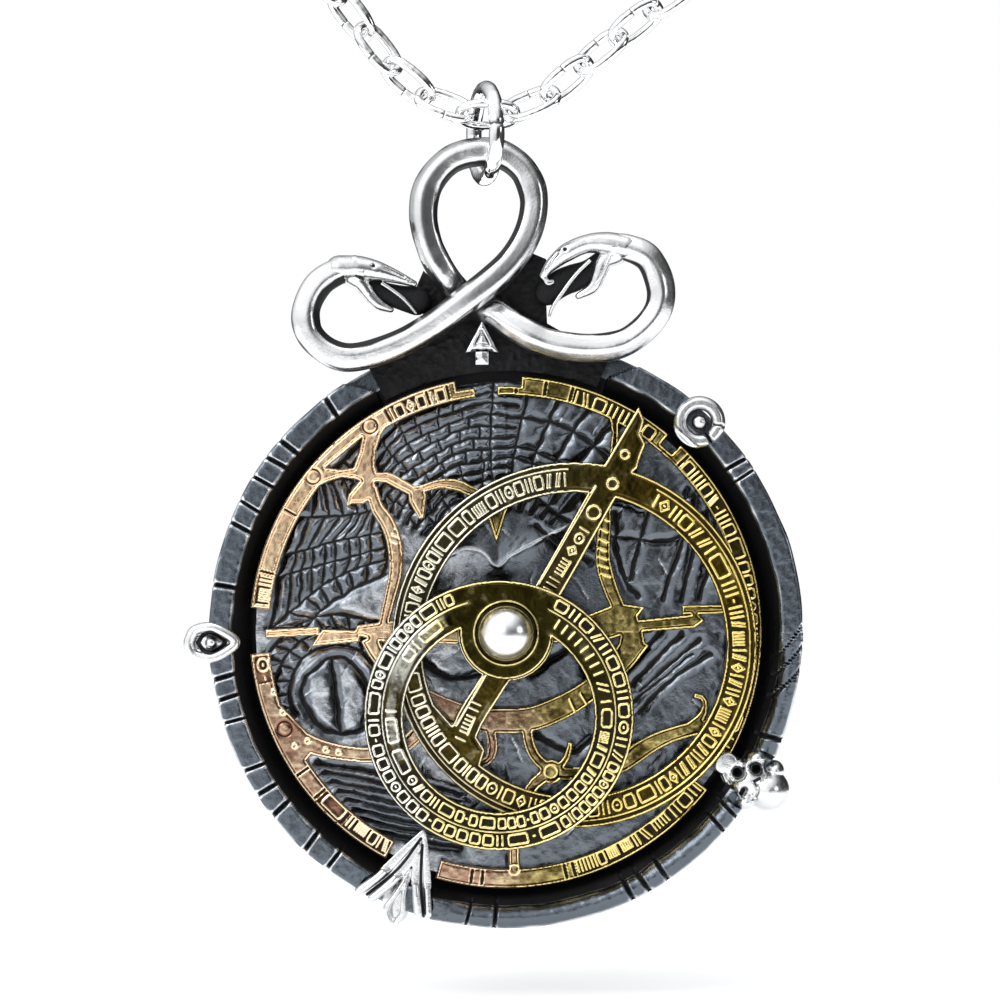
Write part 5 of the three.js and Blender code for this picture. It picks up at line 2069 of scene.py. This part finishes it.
@dataclass
class ChainWork:
    """The jump ring and the visible links of the chain."""

    ring_radius: float = 3.45
    ring_wire: float = 0.6
    link_radius: float = 1.14
    link_wire: float = 0.35
    link_run: float = 2.06

    def make(self, dial: Dial) -> None:
        """Builds and dresses the ring and each link.

        Args:
            dial: where the dial stands.
        """
        metal = finish(Metal.CHAIN)
        ring = wire_loop(WireFrame(dial, "jump_ring"), self.ring_radius, 0.0, self.ring_wire, 28, 160)
        dial.piece("jump_ring_wire", ring, metal, "jump_ring", ["jump_ring"])
        for node in sorted(n for n in cad_nodes() if n.startswith("chain_link_")):
            link = wire_loop(WireFrame(dial, node), self.link_radius, self.link_run, self.link_wire, 20, 112)
            dial.piece(f"{node}_wire", link, metal, node_body(node), [node])


# ---- shared helpers

FINISHES: dict[str, bpy.types.Material] = {}


def finish(metal: Metal) -> bpy.types.Material:
    """The one material of a cast finish, built when first asked for.

    Args:
        metal: the finish.

    Returns:
        The material.
    """
    if metal.name not in FINISHES:
        FINISHES[metal.name] = metal.value.make()
    return FINISHES[metal.name]


def etched(brass: Brass, dial: Dial) -> bpy.types.Material:
    """The one material of an etched finish, built when first asked for.

    Args:
        brass: the finish.
        dial: where the dial stands.

    Returns:
        The material.
    """
    if brass.name not in FINISHES:
        FINISHES[brass.name] = brass.value.make(dial)
    return FINISHES[brass.name]


def cad_nodes() -> list[str]:
    """The names of all CAD nodes."""
    return [o.name for o in bpy.data.objects if "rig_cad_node" in o]


def node_body(node: str) -> str:
    """The CAD body that a node belongs to."""
    return str(bpy.data.objects[node]["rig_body"])


def dress(node: str, material: bpy.types.Material) -> None:
    """Gives a CAD node that stays in view its finish.

    Args:
        node: the CAD node.
        material: its finish.
    """
    mesh = bpy.data.objects[node].data
    mesh.materials.clear()
    mesh.materials.append(material)


# ---- studio


@dataclass
class Studio:
    """A pale floor, soft light from the upper left, and the camera square to the dial."""

    aim: Point3 = (0.0017, 0.0, -0.02686)
    distance: float = 0.3
    width: float = 0.0772
    floor_drop: float = 0.0655
    floor_half: float = 0.22
    film: float = 36.0
    lamps: tuple[tuple[str, Point3, float, float], ...] = (
        ("key", (-0.22, -0.2, 0.2), 0.2, 0.5), ("fill", (0.3, -0.16, 0.05), 0.12, 0.1),
        ("rim", (0.02, -0.06, 0.3), 0.16, 0.16))

    def _lamp(self, name: str, place: Point3, size: float, power: float) -> None:
        """Hangs one soft square lamp that faces the pendant.

        Args:
            name: the lamp's name.
            place: where it hangs.
            size: its side, in metres.
            power: its power, in watts.
        """
        light = bpy.data.lights.new(name, "AREA")
        light.shape = "SQUARE"
        light.size = size
        light.energy = power
        lamp = bpy.data.objects.new(name, light)
        lamp.location = place
        lamp.rotation_euler = (Vector(self.aim) - Vector(place)).to_track_quat("-Z", "Y").to_euler()
        bpy.context.scene.collection.objects.link(lamp)

    def _world(self) -> None:
        """Surrounds the pendant with a pale room that darkens low, right and behind the camera."""
        world = bpy.data.worlds.new("pale room")
        bpy.context.scene.world = world
        world.use_nodes = True
        sheet = NodeSheet(world.node_tree)
        way = sheet.node("ShaderNodeTexCoord", {}, {}, "Generated")
        parts = {axis: sheet.node("ShaderNodeSeparateXYZ", {}, {"Vector": way}, axis) for axis in "XYZ"}
        key = parts["X"] * -0.55 + parts["Y"] * -0.2 + parts["Z"] * 0.8
        ahead = parts["Y"] * -1.0
        glow = key.above(-0.05, 0.62)
        dark_spot = ahead.above(0.72, 0.97)
        behind = parts["Y"].above(0.1, 0.85)
        right = parts["X"].above(-0.13, 0.1)
        left_card = dark_spot * (1 - right) * 0.24
        level = (glow * 0.98 + 0.06) * (1 - dark_spot * right * 0.5) * (1 - behind * 0.55) + left_card
        room = sheet.node("ShaderNodeBackground", {}, {"Color": (0.98, 0.99, 1.0, 1.0), "Strength": level})
        white = sheet.node("ShaderNodeBackground", {}, {"Color": (1.0, 1.0, 1.0, 1.0), "Strength": 1.0})
        seen = sheet.node("ShaderNodeLightPath", {}, {}, "Is Camera Ray")
        both = sheet.node("ShaderNodeMixShader", {}, {0: seen, 1: room, 2: white})
        sheet.node("ShaderNodeOutputWorld", {}, {"Surface": both})

    def _floor(self) -> None:
        """Lays the floor under the pendant."""
        half = self.floor_half
        mesh = bpy.data.meshes.new("floor")
        corners = [(-half, -half, 0), (half, -half, 0), (half, half, 0), (-half, half, 0)]
        mesh.from_pydata(corners, [], [(0, 1, 2, 3)])
        floor = bpy.data.objects.new("floor", mesh)
        floor.location = (0, 0, -self.floor_drop)
        bpy.context.scene.collection.objects.link(floor)
        material = bpy.data.materials.new("pale floor")
        material.use_nodes = True
        sheet = NodeSheet(material.node_tree)
        values = {"Base Color": (0.93, 0.93, 0.93, 1.0), "Roughness": 0.9,
                  "Emission Color": (1.0, 1.0, 1.0, 1.0),
                  "Emission Strength": 0.4}
        shader = sheet.node("ShaderNodeBsdfPrincipled", {}, values)
        sheet.node("ShaderNodeOutputMaterial", {}, {"Surface": shader})
        mesh.materials.append(material)

    def make(self) -> None:
        """Builds the studio."""
        scene = bpy.context.scene
        camera = bpy.data.cameras.new("camera")
        camera.sensor_width = self.film
        camera.lens = self.film * self.distance / self.width
        camera.clip_start = 0.01
        camera.clip_end = 10.0
        eye = bpy.data.objects.new("camera", camera)
        eye.location = (self.aim[0], -self.distance, self.aim[2])
        eye.rotation_euler = (math.pi / 2, 0, 0)
        scene.collection.objects.link(eye)
        scene.camera = eye
        for name, place, size, power in self.lamps:
            self._lamp(name, place, size, power)
        self._world()
        self._floor()
        scene.view_settings.view_transform = "Standard"
        scene.view_settings.look = "None"


def main() -> None:
    """Builds every sub-assembly in order, then the studio."""
    logging.basicConfig(level=logging.INFO, format="%(name)s: %(message)s")
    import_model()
    dial = Dial.from_frame()
    for part in (CaseBody(), GroundPlate(), Throne(), Serpent(),
                 Bosses(), Rete(), RuleRing(), LabelRing(), Rivet(),
                 ChainWork()):
        part.make(dial)
    Studio().make()
    LOG.info("%d pieces", len(dial.made))


if __name__ == "__main__":
    main()
